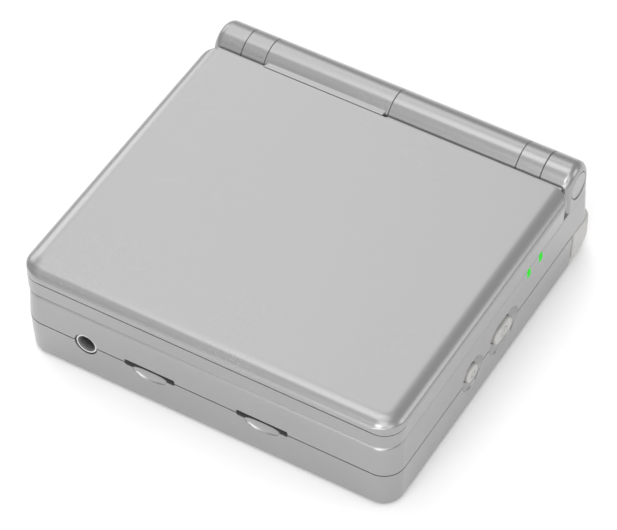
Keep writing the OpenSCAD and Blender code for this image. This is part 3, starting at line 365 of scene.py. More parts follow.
class Wire:
    """A node's output. Arithmetic on it adds Math nodes."""

    def __init__(self, tree, socket):
        self.tree, self.socket = tree, socket

    def maths(self, operation, *values):
        """Math node with its operation and one or two values."""
        node = self.tree.nodes.new("ShaderNodeMath")
        node.operation = operation
        for socket, value in zip(node.inputs, values):
            feed(self.tree, socket, value)
        return Wire(self.tree, node.outputs[0])

    def __add__(self, other):
        return self.maths("ADD", self, other)

    def __sub__(self, other):
        return self.maths("SUBTRACT", self, other)

    def __rsub__(self, other):
        return self.maths("SUBTRACT", other, self)

    def __mul__(self, other):
        return self.maths("MULTIPLY", self, other)

    def __gt__(self, other):
        return self.maths("GREATER_THAN", self, other)

    def __lt__(self, other):
        return self.maths("LESS_THAN", self, other)

    def __abs__(self):
        return self.maths("ABSOLUTE", self)

    def sine(self):
        """Sine of the value, in radians."""
        return self.maths("SINE", self)

    __radd__ = __add__
    __rmul__ = __mul__


class Finish:
    """A material under construction."""

    def __init__(self, name):
        self.material = bpy.data.materials.new(name)
        self.material.use_nodes = True
        self.tree = self.material.node_tree
        self.tree.nodes.clear()
        self.place = self.node("ShaderNodeTexCoord", output="Object")

    def node(self, kind, settings=None, values=None, output=0):
        """Adds a node: its settings first, then the values or wires of its sockets."""
        node = self.tree.nodes.new(kind)
        for key, value in (settings or {}).items():
            setattr(node, key, value)
        for key, value in (values or {}).items():
            feed(self.tree, node.inputs[key], value)
        return Wire(self.tree, node.outputs[output])

    def noise(self, per_metre, detail=2, place=None):
        """Cloudy number from 0 to 1 with so many features a metre."""
        return self.node("ShaderNodeTexNoise", None,
                         {"Vector": place or self.place, "Scale": per_metre, "Detail": detail})

    def mix(self, share, first, second):
        """Colour that goes from first to second."""
        return self.node("ShaderNodeMix", {"data_type": "RGBA"},
                         {"Factor": share, 6: first, 7: second}, output=2)

    def bump(self, height, distance):
        """Normal of a relief whose height goes from 0 to 1 over a distance in metres."""
        return self.node("ShaderNodeBump", None, {"Height": height, "Distance": distance})

    def parts(self):
        """Object coordinates as three wires."""
        node = self.tree.nodes.new("ShaderNodeSeparateXYZ")
        feed(self.tree, node.inputs[0], self.place)
        return [Wire(self.tree, out) for out in node.outputs]

    def done(self, **values):
        """Closes the material with a Principled shader. Names use _ for a space."""
        node = self.tree.nodes.new("ShaderNodeBsdfPrincipled")
        for key, value in values.items():
            feed(self.tree, node.inputs[key.replace("_", " ")], value)
        out = self.tree.nodes.new("ShaderNodeOutputMaterial")
        self.tree.links.new(node.outputs[0], out.inputs[0])
        return self.material


def grey(value):
    """Grey colour."""
    return (value, value, value, 1)


def tint(colour, factor=1.0):
    """Colour made darker or lighter by a factor."""
    return (*(min(1, c * factor) for c in colour), 1)


def painted(name, value, roughness, metallic):
    """Satin metallic paint: flakes a tenth of a millimetre across, faint clouds and the least orange peel."""
    f = Finish(name)
    flakes = f.noise(9000, 1)
    clouds = f.noise(55, 3)
    peel = f.noise(700, 2)
    return f.done(
        Base_Color=f.mix(flakes * 0.5 + clouds * 0.5, grey(value * 0.975), grey(value * 1.025)),
        Metallic=metallic,
        Roughness=(clouds - 0.5) * 0.04 + (flakes - 0.5) * 0.06 + roughness,
        Normal=f.bump(peel * 0.7 + flakes * 0.3, 0.000004),
    )


def moulded(name, colour, roughness=0.5, grain=1800, depth=0.00001):
    """Moulded plastic or rubber with spark-eroded grain."""
    f = Finish(name)
    pits = f.noise(grain, 3)
    clouds = f.noise(90, 2)
    return f.done(
        Base_Color=f.mix(pits * 0.4 + clouds * 0.6, tint(colour, 0.93), tint(colour)),
        Roughness=(pits - 0.5) * 0.15 + (clouds - 0.5) * 0.08 + roughness,
        Normal=f.bump(pits, depth),
    )


def brushed(name, colour, roughness=0.3):
    """Metal with fine scratches along one direction."""
    f = Finish(name)
    along = f.node("ShaderNodeMapping", None, {"Vector": f.place, "Scale": (0.06, 1, 1)})
    lines = f.noise(4000, 3, along)
    stains = f.noise(150, 3)
    return f.done(
        Base_Color=f.mix(lines * 0.7 + stains * 0.3, tint(colour, 0.82), tint(colour)),
        Metallic=1.0,
        Roughness=(lines - 0.5) * 0.25 + (stains - 0.5) * 0.1 + roughness,
        Normal=f.bump(lines, 0.000006),
    )


def screen_glass(name, centre, half):
    """Black-edged screen lens: a dark grey window inside a blacker printed border, under clear gloss."""
    f = Finish(name)
    x, y, _ = f.parts()
    smears = f.noise(38, 4)
    window = (abs(x - centre[0]) < half[0]) * (abs(y - centre[1]) < half[1])
    return f.done(
        Base_Color=f.mix(window, (0.004, 0.004, 0.005, 1), (0.021, 0.022, 0.025, 1)),
        Roughness=smears * 0.06 + 0.02 + window * 0.03,
        Coat_Weight=1.0,
        Coat_Roughness=0.03,
        Normal=f.bump(f.noise(12, 1), 0.00002),
    )


def glowing(name, colour, strength):
    """Clear coloured light pipe, lit from inside."""
    f = Finish(name)
    depth = f.noise(1500, 2)
    glow = f.mix(depth, tint(colour, 0.75), tint(colour))
    return f.done(
        Base_Color=f.mix(depth, (0.002, 0.05, 0.002, 1), (0.004, 0.08, 0.004, 1)),
        Roughness=depth * 0.1 + 0.5,
        Specular_IOR_Level=0.1,
        Emission_Color=glow,
        Emission_Strength=strength,
    )


def socket_nose(name, face):
    """Moulding that is pale in front of the plane Y = face and dark grey behind it."""
    f = Finish(name)
    _, y, _ = f.parts()
    pits = f.noise(2400, 2)
    pale, dark = f.mix(pits, grey(0.52), grey(0.57)), f.mix(pits, grey(0.10), grey(0.13))
    return f.done(
        Base_Color=f.mix(y > face, pale, dark),
        Roughness=pits * 0.1 + 0.42,
        Normal=f.bump(pits, 0.000006),
    )


def circuit(name, colour):
    """Board lacquer over a grid of copper tracks that shows through as raised lines."""
    f = Finish(name)
    tracks = f.node("ShaderNodeTexBrick", {"offset": 0.5}, {
        "Vector": f.place, "Scale": 620.0, "Mortar Size": 0.12, "Mortar Smooth": 0.2,
        "Brick Width": 0.9, "Row Height": 0.35}, output="Fac")
    clouds = f.noise(120, 3)
    return f.done(
        Base_Color=f.mix(tracks * 0.6 + clouds * 0.2, tint(colour), tint(colour, 2.1)),
        Roughness=clouds * 0.15 + 0.3,
        Normal=f.bump(tracks, 0.00002),
    )


def woven(name, colour, per_metre=2600):
    """Fine crossed threads, for gauze and foam skins."""
    f = Finish(name)
    x, y, _ = f.parts()
    threads = (x * per_metre).sine() * (y * per_metre).sine() * 0.5 + 0.5
    return f.done(
        Base_Color=f.mix(threads, tint(colour), tint(colour, 2.5)),
        Roughness=0.85 - threads * 0.15,
        Normal=f.bump(threads, 0.00004),
    )


SCREEN_BORDER = [3.45, 3.35]
NOSE_DEPTH = 0.45


def make_finishes(settings):
    """Every finish of the object, by a plain name."""
    paint, metal = settings.paint_roughness, settings.paint_metallic
    window = ((lens_high - lens_low)[:2] / 2 - SCREEN_BORDER) * MM
    finishes.update(
        cover=painted("silver_lid_paint", settings.cover_grey, paint, metal),
        body=painted("silver_body_paint", settings.body_grey, paint, metal),
        keys=moulded("warm_grey_keys", settings.key_colour, 0.45, 2400),
        glass=screen_glass("screen_lens_glass", (lens_low + lens_high)[:2] / 2 * MM, window),
        light=glowing("green_light_pipe", settings.light_colour, settings.light_strength),
        nose=socket_nose("socket_nose_moulding", (FRONT + NOSE_DEPTH) * MM),
        rubber=moulded("dark_rubber", (0.05, 0.05, 0.052), 0.75, 1500, 0.00002),
        membrane=moulded("key_mat_rubber", (0.42, 0.42, 0.43), 0.6, 1500),
        black=moulded("black_moulding", (0.016, 0.016, 0.017), 0.42, 2000),
        steel=brushed("plated_steel", (0.56, 0.56, 0.58), 0.28),
        socket=brushed("socket_shell_metal", (0.70, 0.70, 0.71), 0.22),
        board=circuit("board_lacquer", (0.01, 0.085, 0.04)),
        foam=woven("black_foam", (0.012, 0.012, 0.013)),
        flex=moulded("amber_flex_film", (0.45, 0.2, 0.035), 0.25, 3000, 0.000004),
        cell=moulded("battery_wrap", (0.03, 0.05, 0.12), 0.3, 900, 0.000008),
        cream=moulded("connector_nylon", (0.70, 0.66, 0.55), 0.5, 1500),
        gold=brushed("gilt_antenna", (0.72, 0.5, 0.16), 0.3),
        display=moulded("display_frame", (0.06, 0.065, 0.07), 0.3, 1200, 0.000005),
    )


# ---- Shells ----


def lid_outline(i, back=None):
    """Lid's plan drawn in by i, and by back at its back edge. Where i is below 0, the front corners round off
    faster."""
    back = i if back is None else back
    front_r = max(4.6 - i - 2.3 * min(i, 0), 0.3)
    return panel(LID_HALF - i, LID_FRONT + i, LID_BACK - back, front_r, max(2 - i, 0.3))


def base_outline(i, front=0.0):
    """Base's plan drawn in by i, and by front more at its front edge."""
    return panel(HALF - i, FRONT + i + front, BACK - i, max(4.75 - i, 0.3), max(3.5 - i, 0.3))


def quarter(steps):
    """Angles of a quarter turn, in radians."""
    return np.radians(np.linspace(0, 90, steps + 1))


def lid_cover_solid(bulge=0.36, bulge_h=0.95, roll=3.83, back_roll=0.12):
    """Hollow cover: a sine swell above the seam, then a quarter ellipse that rolls over to the flat top."""
    rise, flat, turn_z = LID_TOP - LID_SPLIT - bulge_h, roll - bulge, LID_SPLIT + bulge_h
    levels = [(LID_WALL + 0.1, LID_WALL + 0.1, LID_TOP - LID_WALL), (LID_WALL, LID_WALL, LID_SPLIT)]
    levels += [(-bulge * math.sin(a), 0, LID_SPLIT + bulge_h * 2 * a / math.pi) for a in quarter(8)]
    for a in quarter(20)[1:]:
        inward = 1 - math.cos(a)
        levels.append((-bulge + roll * inward, back_roll * inward, turn_z + rise * math.sin(a)))
    levels.append((flat + 0.4, back_roll + 0.4, LID_TOP))
    return skin([laid(lid_outline(i, back), z, "z") for i, back, z in levels])


def lid_ledges(step=0.75, gap=0.12, left_end=-29.6):
    """Ledges behind the cover that follow the barrel a gap away: their back is an arc about the hinge."""
    top, bottom, front = LID_TOP - step - HINGE_Z, 1.6, LID_BACK - 0.6
    heights = np.linspace(bottom, top, 8)
    back = np.stack([HINGE_Y - np.sqrt((BARREL_R + gap) ** 2 - heights ** 2), HINGE_Z + heights], 1)
    outline = np.concatenate([[[front, HINGE_Z + bottom]], back, [[front, HINGE_Z + top]]])
    end = LID_HALF - 2.1
    return [prism(outline, 0.1, end, "x"), prism(outline, -end, left_end, "x")]


def lens_outline(i, r):
    """Plan of the screen lens drawn in by i, with corner radius r."""
    half, middle = (lens_high - lens_low) / 2, (lens_high + lens_low) / 2
    return panel(half[0] - i, middle[1] - half[1] + i, middle[1] + half[1] - i, r, r)


def lid_frame_solids(taper=0.1, lip=0.12):
    """Bezel round the lens as one looped skin, with the two hinge rings, their arms and the barrel core."""
    top, pocket, plate = LID_SPLIT - SEAM - 0.05, LID_LOW + 0.9, LID_LOW + LID_WALL

    def opening(i):
        return lens_outline(i - SEAM, 0.4)

    levels = [(lid_outline(LID_WALL), top), (lid_outline(0), top)]
    for a in quarter(6):
        levels.append((lid_outline(taper + lip * (1 - math.cos(a))), LID_LOW + lip * (1 - math.sin(a))))
    levels += [
        (opening(-EDGE), LID_LOW), (opening(0), LID_LOW + EDGE), (opening(0), pocket),
        (opening(2), pocket), (opening(2), plate), (lid_outline(LID_WALL), plate),
    ]
    rings = [laid(outline, z, "z") for outline, z in levels]
    arm = prism(box_outline(RING_X, EAR_X - SEAM, LID_LOW + 0.8, top), HINGE_Y - BARREL_R / 2,
                LID_BACK - LID_WALL - 0.4, "y")
    ring = stack(lambda i: disc(BARREL_R - i), soft_edges(RING_X + SEAM / 2, EAR_X - SEAM), "x", HINGE)
    core = prism(disc(BARREL_R - 1.25), -RING_X - 0.5, RING_X + 0.5, "x", HINGE)
    return skin(rings, looped=True), [arm, ring, mirrored(arm), mirrored(ring), core]


def ear_solid(r_top=1.85, r_back=3.5, r_front=0.8, side=HALF - 0.26):
    """Hinge ear: rings across X, each a half circle over two legs that run down into the base. Towards the
    outer end the half circle shrinks along a quarter circle of radius r_top, and the feet of the legs along
    quarter circles of r_front and r_back, so the ear stands flush on the base's side and back corner."""
    radii, ends = np.array([r_front, r_top, r_back]), np.array([side, EAR_END, side])
    levels = [(np.full(3, EDGE), np.full(3, EAR_X)), (np.zeros(3), np.full(3, EAR_X + EDGE))]
    levels += [((1 - math.cos(a)) * radii, ends - radii + radii * math.sin(a)) for a in quarter(12)]
    share = np.linspace(0, 1, 9)[:, None]
    rings = []
    for (front, over, back), out in levels:
        top = laid(arc(HINGE_Y, HINGE_Z, BARREL_R - over, 180, -180, 40), out[1], "x")
        front_foot = np.array([out[0], HINGE_Y - BARREL_R + front, DECK - 1])
        back_foot = np.array([out[2], BACK - 0.28 - back, DECK - 1])
        front_leg = front_foot + share[:-1] * (top[0] - front_foot)
        back_leg = top[-1] + share[1:] * (back_foot - top[-1])
        rings.append(np.concatenate([front_leg, top, back_leg]))
    return skin(rings)


def trigger_outline(grow, back=0):
    """Side view of a trigger in Y and Z, grown by grow and drawn in by back at its back face: flat below,
    rounded under the back and a little over it."""
    low, high = span("trigger_r1")
    r, front_top, top = 2.2, low[2] + 7.9 + grow, low[2] + 7.3 + grow
    f, b, z = low[1] - grow, high[1] + grow - back, low[2] - grow
    under, over = arc(b - r, z + r, r, -90), arc(b - 0.8, top - 0.8, 0.8, 0, 90, 6)
    return np.concatenate([[[f, z]], under, over, [[f, front_top]]])


def trigger_room():
    """Cutter for the space of both right triggers."""
    return prism(trigger_outline(TRIGGER_GAP), span("trigger_r2")[0][0] - TRIGGER_GAP, HALF + 2, "x")


def slot_places():
    """Middle X of each of the two card slots."""
    x = mesh_points(frame["nodes"]["card_sockets"].data)[:, 0]
    return [(side.min() + side.max()) / 2 for side in (x[x < 0], x[x > 0])]


def round_places(node, r):
    """Middles of the round parts of radius r that a node holds one of in each corner."""
    low, high = span(node)
    return [(x, y) for x in (low[0] + r, high[0] - r) for y in (low[1] + r, high[1] - r)]


def front_cuts():
    """Cutters for the card slots and the headphone hole."""
    half, high = SLOT_HALF

    def slot(i):
        return panel(half - i, i - high, high - i, 0.35, 0.35)

    slots = [flared(slot, FRONT + 3, FRONT, "y", (x, SLOT_Z), -1) for x in slot_places()]
    levels = [(0, FRONT + 3), (0, FRONT + 0.2), (-0.2, FRONT), (-0.2, FRONT - 1)]
    return [*slots, stack(lambda i: disc(JACK_HOLE_R - i), levels, "y", JACK)]


def scoop_cuts(half=4.0, deep=0.72, tall=2.05):
    """Cutters for the thumb scoops under the slots. Each plan has a straight front and a back edge
    |x / w|^n + |y / d|^n = 1 with n = 2.6. Going down, w and d shrink along a quarter ellipse."""
    lip, power = SLOT_Z - SLOT_HALF[1], 2 / 2.6
    t = np.radians(np.linspace(0, 180, 37))
    back = np.stack([np.sign(np.cos(t)) * np.abs(np.cos(t)) ** power, np.sin(t) ** power], 1)

    def plan(share):
        edge = back * [half * share, deep * share] + [0, FRONT]
        return np.concatenate([[[-half * share, FRONT - 1], [half * share, FRONT - 1]], edge])

    levels = [(max(math.cos(a), 0.04), lip - tall * math.sin(a)) for a in quarter(14)[::-1]] + [(1, lip + 0.4)]
    return [skin([laid(plan(share) + [x, 0], z, "z") for share, z in levels]) for x in slot_places()]


def side_cuts():
    """Cutters for the dished places and holes of the side keys and for the volume rocker's hole."""
    dish = [(2.4, 0.92), (1.6, 0.88), (0.9, 0.74), (0.4, 0.52), (0.12, 0.26), (0, 0), (0, -1)]
    cuts = []
    for node, reach in DISHES:
        at, (length, _) = side_size(node, SIDE_FLANGE)
        levels = [(i, HALF - depth) for i, depth in dish]
        cuts.append(stack(lambda i: pill(2 * reach - 2 * i, 7.8 - 2 * i), levels, "x", at))
        cuts.append(prism(pill(length + 0.4, 4.2), HALF - 2.8, HALF + 1, "x", at))
    at, (length, _) = side_size("volume_rocker", ROCKER_FLANGE)
    cuts.append(flared(lambda i: pill(length + 0.6 - 2 * i, 4 - 2 * i), -HALF + 2.2, -HALF, "x", at, -1))
    return cuts


def rear_cuts():
    """Cutters for the charging and video sockets."""
    return [flared(lambda i: pill(wide - 2 * i, 3.6 - 2 * i), BACK - 2.4, BACK, "y", (x, 10.7))
            for x, wide in ((6.5, 9.3), (-6.5, 10.8))]


def deck_cuts():
    """Cutters for the openings in the control deck."""
    holes = [(lambda i: cross(20.3 - 2 * i, 7.3 - 2 * i, 1), node_middle("dpad"))]
    for node, inset in [(node, 0.6) for node in FACE_KEYS] + [("menu_button", 0.5)]:
        r = node_radius(node) - inset
        holes.append((lambda i, r=r: disc(r - i), node_middle(node)))
    holes += [(lambda i: pill(7.4 - 2 * i, 3 - 2 * i), node_middle(node)) for node in PILL_KEYS]
    speaker = node_middle("speaker")
    holes += [(lambda i: disc(0.6 - i), speaker + [2.6 * column, 2.6 * row])
              for column in range(-2, 3) for row in range(-1, 2)]
    return [flared(outline, DECK - 2, DECK, "z", at) for outline, at in holes]


def light_blocks(grow):
    """Solids through the right wall for the two status lights, upright in the shoulder of the rim."""
    half, high = LIGHT_HALF[0] + grow, LIGHT_HALF[1] + grow
    return [prism(box_outline(-half, half, -high, high, 0.3), HALF - 2.2, HALF + 1, "x", (y, RIM - 1.15))
            for y in LIGHT_YS]


def rim_levels(taper=0.28, lip=1.6, side_lip=0.2):
    """Levels (inset, more inset at the front, height) of the base's outside, from its seam up over the rim."""
    levels = [(0, 0, SPLIT + SEAM + EDGE)]
    for a in quarter(10):
        inward = 1 - math.cos(a)
        levels.append((taper + side_lip * inward, (lip - side_lip) * inward, RIM - lip + lip * math.sin(a)))
    return levels


def base_top_mesh():
    """Upper shell: a hollow skin from the deck over the rim to the seam and back inside, with the two ears."""
    seam, soft = SPLIT + SEAM, 0.35

    def recess(i):
        return panel(HALF - 5 - i, FRONT + 5 + i, LID_BACK + 0.15 - i, 3, 0.5)

    levels = [(recess(0.02), DECK), (recess(0), DECK + 0.02), (recess(0), RIM - soft)]
    levels += [(recess(-soft * (1 - math.cos(a))), RIM - soft + soft * math.sin(a)) for a in quarter(5)[1:]]
    levels += [(base_outline(i, front), z) for i, front, z in rim_levels()[::-1]]
    levels += [(base_outline(EDGE), seam), (base_outline(WALL), seam), (base_outline(WALL), DECK - 1.2)]
    shell = skin([laid(outline, z, "z") for outline, z in levels])
    ear = ear_solid()
    cap = flared(lambda i: disc(CAP_R + 0.12 - i), EAR_END - 0.9, EAR_END, "x", HINGE)
    room = trigger_room()
    barrel_room = brick((-EAR_X, LID_BACK - 2, DECK), (EAR_X, BACK + 1, RIM + 1))
    cuts = [barrel_room, cap, mirrored(cap), room, mirrored(room), *deck_cuts(), *front_cuts(), *side_cuts(),
            *rear_cuts(), *light_blocks(0.01)]
    return carved(shell, cuts, adds=[ear, mirrored(ear)])


def cover_plan(i):
    """Plan of the battery cover drawn in by i: a rounded panel with a round tab at its front."""
    low, high = span("battery_cover")
    tab_r, front = 4 - i, low[1] + 8.4 + i
    tab = arc(0, low[1] + 4, tab_r, 180, 180, 20)
    lid = panel(high[0] - i, front, high[1] - i, 1, 1)
    return np.concatenate([tab, [[tab_r, front]], lid, [[-tab_r, front]]])


def bottom_cuts():
    """Cutters for the underside: battery bay and screw holes."""
    holes = [(lambda i: cover_plan(i - 0.15), (0, 0))]
    holes += [(lambda i: disc(1.65 - i), place) for place in round_places("base_screws", 1.4)]
    return [flared(outline, FLOOR + 3, FLOOR, "z", at, -1) for outline, at in holes]


def base_bottom_mesh(taper=0.35, lip=1.2, front=0.21):
    """Lower shell: a hollow skin from the seam down round the bottom edge, cut for triggers, cover and screws.
    Bridges close the seam inside the side keys' dishes."""
    top = SPLIT - 0.05
    levels = [(WALL, 0, FLOOR + 1.2), (WALL, 0, top), (0, 0, top)]
    levels += [(taper + lip * (1 - math.cos(a)), front, FLOOR + lip * (1 - math.sin(a))) for a in quarter(10)]
    shell = skin([laid(base_outline(i, more), z, "z") for i, more, z in levels])
    low, _ = span("trigger_r2")
    corner = (HALF + 1, BACK + 1, SPLIT + 1)
    rooms = [
        trigger_room(), brick((HALF - 1.9, low[1] - 0.73, FLOOR - 1), corner),
        brick((low[0] - TRIGGER_GAP, BACK - 1.9, FLOOR - 1), corner),
    ]
    cuts = [*rooms, *map(mirrored, rooms), *front_cuts(), *scoop_cuts(), *side_cuts(), *rear_cuts(),
            *bottom_cuts()]
    bridges = []
    for node, reach in DISHES:
        y = side_size(node, 0)[0][0]
        inside, outside = HALF - WALL + 0.02, HALF - 0.02
        bridges.append(brick((inside, y - reach, SPLIT - 0.3), (outside, y + reach, SPLIT + SEAM - 0.005)))
    return carved(shell, cuts, adds=bridges)


def screw_solid(place, z, depth, top):
    """Screw with a cross recess in its head, which faces down: turned head and shank."""
    head = stack(lambda i: disc(SCREW_R - i), soft_edges(z, z + depth, 0.3, 0.05), at=place)
    shank = prism(disc(0.8), z + depth - 0.1, top, at=place)
    levels = [(0, z - 1), (0, z), (0.4, z + 0.45)]

    def bar(i, turn):
        return turned(box_outline(i - 0.85, 0.85 - i, i / 4 - 0.2, 0.2 - i / 4), turn)

    recess = [stack(lambda i: bar(i, turn), levels, at=place) for turn in (20, 110)]
    return mesh_solid(carved(head, recess, [shank]))


def trigger_solid(low, high, r_out, r_in=0.25):
    """Trigger: its side view carried along X. The back draws in along a quarter circle at each end, of the
    shell's own corner radius at the outer one, and the whole outline draws in a little at both."""
    along = []
    for a in quarter(5):
        inward = r_in * (1 - math.sin(a))
        along.append((inward, inward, low[0] + r_in * (1 - math.cos(a))))
    for a in quarter(10):
        inward = 1 - math.cos(a)
        along.append((0.6 * inward, r_out * inward, high[0] - r_out + r_out * math.sin(a)))
    return skin([laid(trigger_outline(-edge, back), x, "x") for edge, back, x in along])


def ring_mark(outer, inner, face, at):
    """Cutter for a round groove between two radii in a side key's face."""
    profile = [(outer, -MARK_DEPTH), (outer, 1), (inner, 1), (inner, -MARK_DEPTH)]
    return skin([laid(disc(r) + at, face + x, "x") for r, x in profile], looped=True)


def side_marks(node, face, at):
    """Cutters for the generic sign on a side key: a ring, with a short bar where it is the power key's."""
    if node == "reset_button":
        return [ring_mark(0.85, 0.6, face, at)]
    bar = prism(box_outline(-0.13, 0.13, 0.05, 0.75), face - MARK_DEPTH, face + 1, "x", at)
    return [ring_mark(1.3, 1.03, face, at), bar]


# ---- Settings ----


class HandheldSettings(bpy.types.PropertyGroup):
    """Colours and paint settings that a user would change."""

    cover_grey: bpy.props.FloatProperty(
        name="Lid paint", description="Brightness of the lid's paint", default=0.335, min=0, max=1)
    body_grey: bpy.props.FloatProperty(
        name="Body paint", description="Brightness of the base's paint", default=0.335, min=0, max=1)
    paint_roughness: bpy.props.FloatProperty(
        name="Paint roughness", description="How dull the paint is", default=0.26, min=0.05, max=1)
    paint_metallic: bpy.props.FloatProperty(
        name="Paint metal", description="Share of metal flake in the paint", default=0.75, min=0, max=1)
    key_colour: bpy.props.FloatVectorProperty(
        name="Key colour", description="Colour of the keys and triggers", subtype="COLOR",
        default=(0.47, 0.465, 0.45), min=0, max=1)
    light_colour: bpy.props.FloatVectorProperty(
        name="Light colour", description="Colour of the status lights", subtype="COLOR",
        default=(0.013, 0.79, 0.013), min=0, max=1)
    light_strength: bpy.props.FloatProperty(
        name="Light strength", description="How strongly the status lights glow", default=1.0, min=0)
    floor_grey: bpy.props.FloatProperty(
        name="Floor", description="Brightness of the floor", default=0.95, min=0, max=1)


def settings():
    """This scene's settings."""
    return bpy.context.scene.handheld


# ---- Operators ----


class MakeLidShells(bpy.types.Operator):
    """Lid's painted cover, with its swell and rolled edge, and its bezel half with the hinge rings"""

    bl_idname = "handheld.lid_shells"
    bl_label = "Lid shells"

    def execute(self, context):
        piece("lid_cover", carved(lid_cover_solid(), adds=lid_ledges()), "lid", "lid_back_cover", "cover")
        ring, parts = lid_frame_solids()
        piece("lid_frame", together(ring, *parts), "lid", "lid_bezel", "cover")
        return {"FINISHED"}


def barrel_half(low, high):
    """Turned cover of the hinge barrel between two places along it."""
    return stack(lambda i: disc(BARREL_R - i), soft_edges(low, high), "x", HINGE)


class MakeBarrel(bpy.types.Operator):
    """The two covers of the hinge barrel, the left one with its flat lip"""

    bl_idname = "handheld.barrel"
    bl_label = "Hinge barrel"

    def execute(self, context):
        end = RING_X - SEAM / 2
        front, back = LID_BACK + 0.1, HINGE_Y - 1
        plan = np.array([[-29.3, front], [-0.7, front], [-0.7, back], [-27.7, back]])
        left = carved(barrel_half(-end, -SEAM / 2), adds=[prism(plan, LID_TOP - 1.1, LID_TOP)])
        piece("barrel_left", left, "lid", "barrel_cover_left", "cover")
        piece("barrel_right", barrel_half(SEAM / 2, end), "lid", "barrel_cover_right", "cover")
        return {"FINISHED"}


class MakeHingeCaps(bpy.types.Operator):
    """Flush caps on the ends of the hinge"""

    bl_idname = "handheld.hinge_caps"
    bl_label = "Hinge caps"

    def execute(self, context):
        cap = stack(lambda i: disc(CAP_R - i), soft_edges(cap_low[0], cap_high[0]), "x", HINGE)
        piece("hinge_cap_r", cap, "base", "hinge_cap_right", "body")
        piece("hinge_cap_l", mirrored(cap), "base", "hinge_cap_left", "body")
        return {"FINISHED"}


class MakeBaseShells(bpy.types.Operator):
    """Upper shell of the base, with its deck, rim, ears and openings, and the lower one"""

    bl_idname = "handheld.base_shells"
    bl_label = "Base shells"

    def execute(self, context):
        piece("base_top", base_top_mesh(), "base", "base_upper_shell", "body")
        piece("base_bottom", base_bottom_mesh(), "base", "base_lower_shell", "body")
        return {"FINISHED"}


def round_pads(node, r, rise, soft):
    """Round rubber pads, one in each corner of a node, that swell downwards by rise."""
    low, high = span(node)
    levels = soft_edges(-high[2], -low[2] - rise, EDGE, soft)
    pads = [crowned(lambda i: disc(r - i), levels, rise, at=place) for place in round_places(node, r)]
    return together(*[mirrored(pad, (1, 1, -1)) for pad in pads])


class MakeSmallShells(bpy.types.Operator):
    """Battery cover, screw heads, feet and lid bumpers"""

    bl_idname = "handheld.small_shells"
    bl_label = "Battery cover, screws and feet"

    def execute(self, context):
        low, high = span("battery_cover")
        bottom, tab = low[2], (0, low[1] + 4)
        cuts = [brick((-5, y - 0.22, bottom - 0.5), (5, y + 0.22, bottom + 0.3))
                for y in (high[1] - 2.2 - 1.1 * k for k in range(4))]
        cuts.append(prism(disc(1.6), bottom - 1, bottom + 0.6, at=tab))
        cover = carved(stack(cover_plan, soft_edges(bottom, high[2], 0.25)), cuts)
        piece("battery_lid", cover, "base", "battery_cover", "body")
        for name, node, places, z, depth in (
            ("case_screws", "base_screws", round_places("base_screws", SCREW_R), FLOOR + 0.3, 1.0),
            ("cover_screw", "battery_cover_screw", [tab], FLOOR + 0.05, 0.55),
        ):
            top = span(node)[1][2]
            screws = together(*[screw_solid(place, z, depth, top) for place in places])
            piece(name, screws, "base", node, "steel")
        piece("rubber_feet", round_pads("feet", 3, 0.12, 0.3), "base", "feet", "rubber")
        piece("bumper_pads", round_pads("lid_bumpers", 1.9, 0.05, 0.15), "lid", "lid_bumpers", "rubber")
        return {"FINISHED"}


class MakePad(bpy.types.Operator):
    """Direction pad with its dished middle and arrow dents"""

    bl_idname = "handheld.pad"
    bl_label = "Direction pad"

    def execute(self, context):
        low, high = span("dpad")
        at, top = node_middle("dpad"), high[2]
        levels = soft_edges(low[2] + 0.2, top, EDGE, 0.4, 6)
        body = stack(lambda i: cross(19.6 - 2 * i, 6.6 - 2 * i, 0.9 - i), levels, at=at)
        flange = prism(disc(9), low[2], low[2] + 0.6, at=at)
        dish = bowl((*at, top + 9.4), (10, 10, 10), 60, 72)
        arrow = np.array([[1, 0], [-0.4, 0.95], [-0.4, -0.95]])
        levels = [(0.9, top - 0.2), (0, top), (-0.4, top + 0.5)]
        dents = [stack(lambda i: turned(arrow * (1 - i / 2) + [7, 0], turn), levels, at=at)
                 for turn in (0, 90, 180, 270)]
        piece("direction_pad", carved(body, [dish, *dents], [flange]), "dpad", "dpad", "keys")
        return {"FINISHED"}


def deck_key(node, outline, foot, rise, soft, flange, stem_r):
    """Deck key: its top swells or sinks by rise and stands foot above a flange, which is wider by flange all
    round, over a stem."""
    low, high = span(node)
    at, foot_z = node_middle(node), high[2] - foot
    key = crowned(outline, soft_edges(foot_z, high[2] - max(rise, 0), EDGE, soft, 6), rise, at=at)
    plate = prism(outline(-flange), foot_z - 0.3, foot_z + 0.25, at=at)
    stem = prism(disc(stem_r), low[2], foot_z + 0.1, at=at)
    piece(node.replace("button", "key"), carved(key, adds=[plate, stem]), node, node, "keys")


class MakeKeys(bpy.types.Operator):
    """Round buttons, start and select keys and menu button of the deck"""

    bl_idname = "handheld.keys"
    bl_label = "Deck keys"

    def execute(self, context):
        for node in FACE_KEYS:
            r = node_radius(node) - 0.8
            deck_key(node, lambda i: disc(r - i), foot=2.6, rise=0.35, soft=0.45, flange=0.8, stem_r=1.6)
        for node in PILL_KEYS:
            deck_key(node, lambda i: pill(7 - 2 * i, 2.6 - 2 * i), foot=2.3, rise=0.2, soft=0.4, flange=0.6,
                     stem_r=1)
        deck_key("menu_button", lambda i: disc(2.2 - i), foot=2.3, rise=-0.18, soft=0.4, flange=0.7, stem_r=1)
        return {"FINISHED"}


class MakeTriggers(bpy.types.Operator):
    """Four shoulder triggers"""

    bl_idname = "handheld.triggers"
    bl_label = "Triggers"

    def execute(self, context):
        for node, r_out in (("trigger_r1", 2.3), ("trigger_r2", 0.3)):
            solid, twin = trigger_solid(*span(node), r_out), node.replace("_r", "_l")
            piece(node + "_cap", solid, node, node, "keys")
            piece(twin + "_cap", mirrored(solid), twin, twin, "keys")
        return {"FINISHED"}


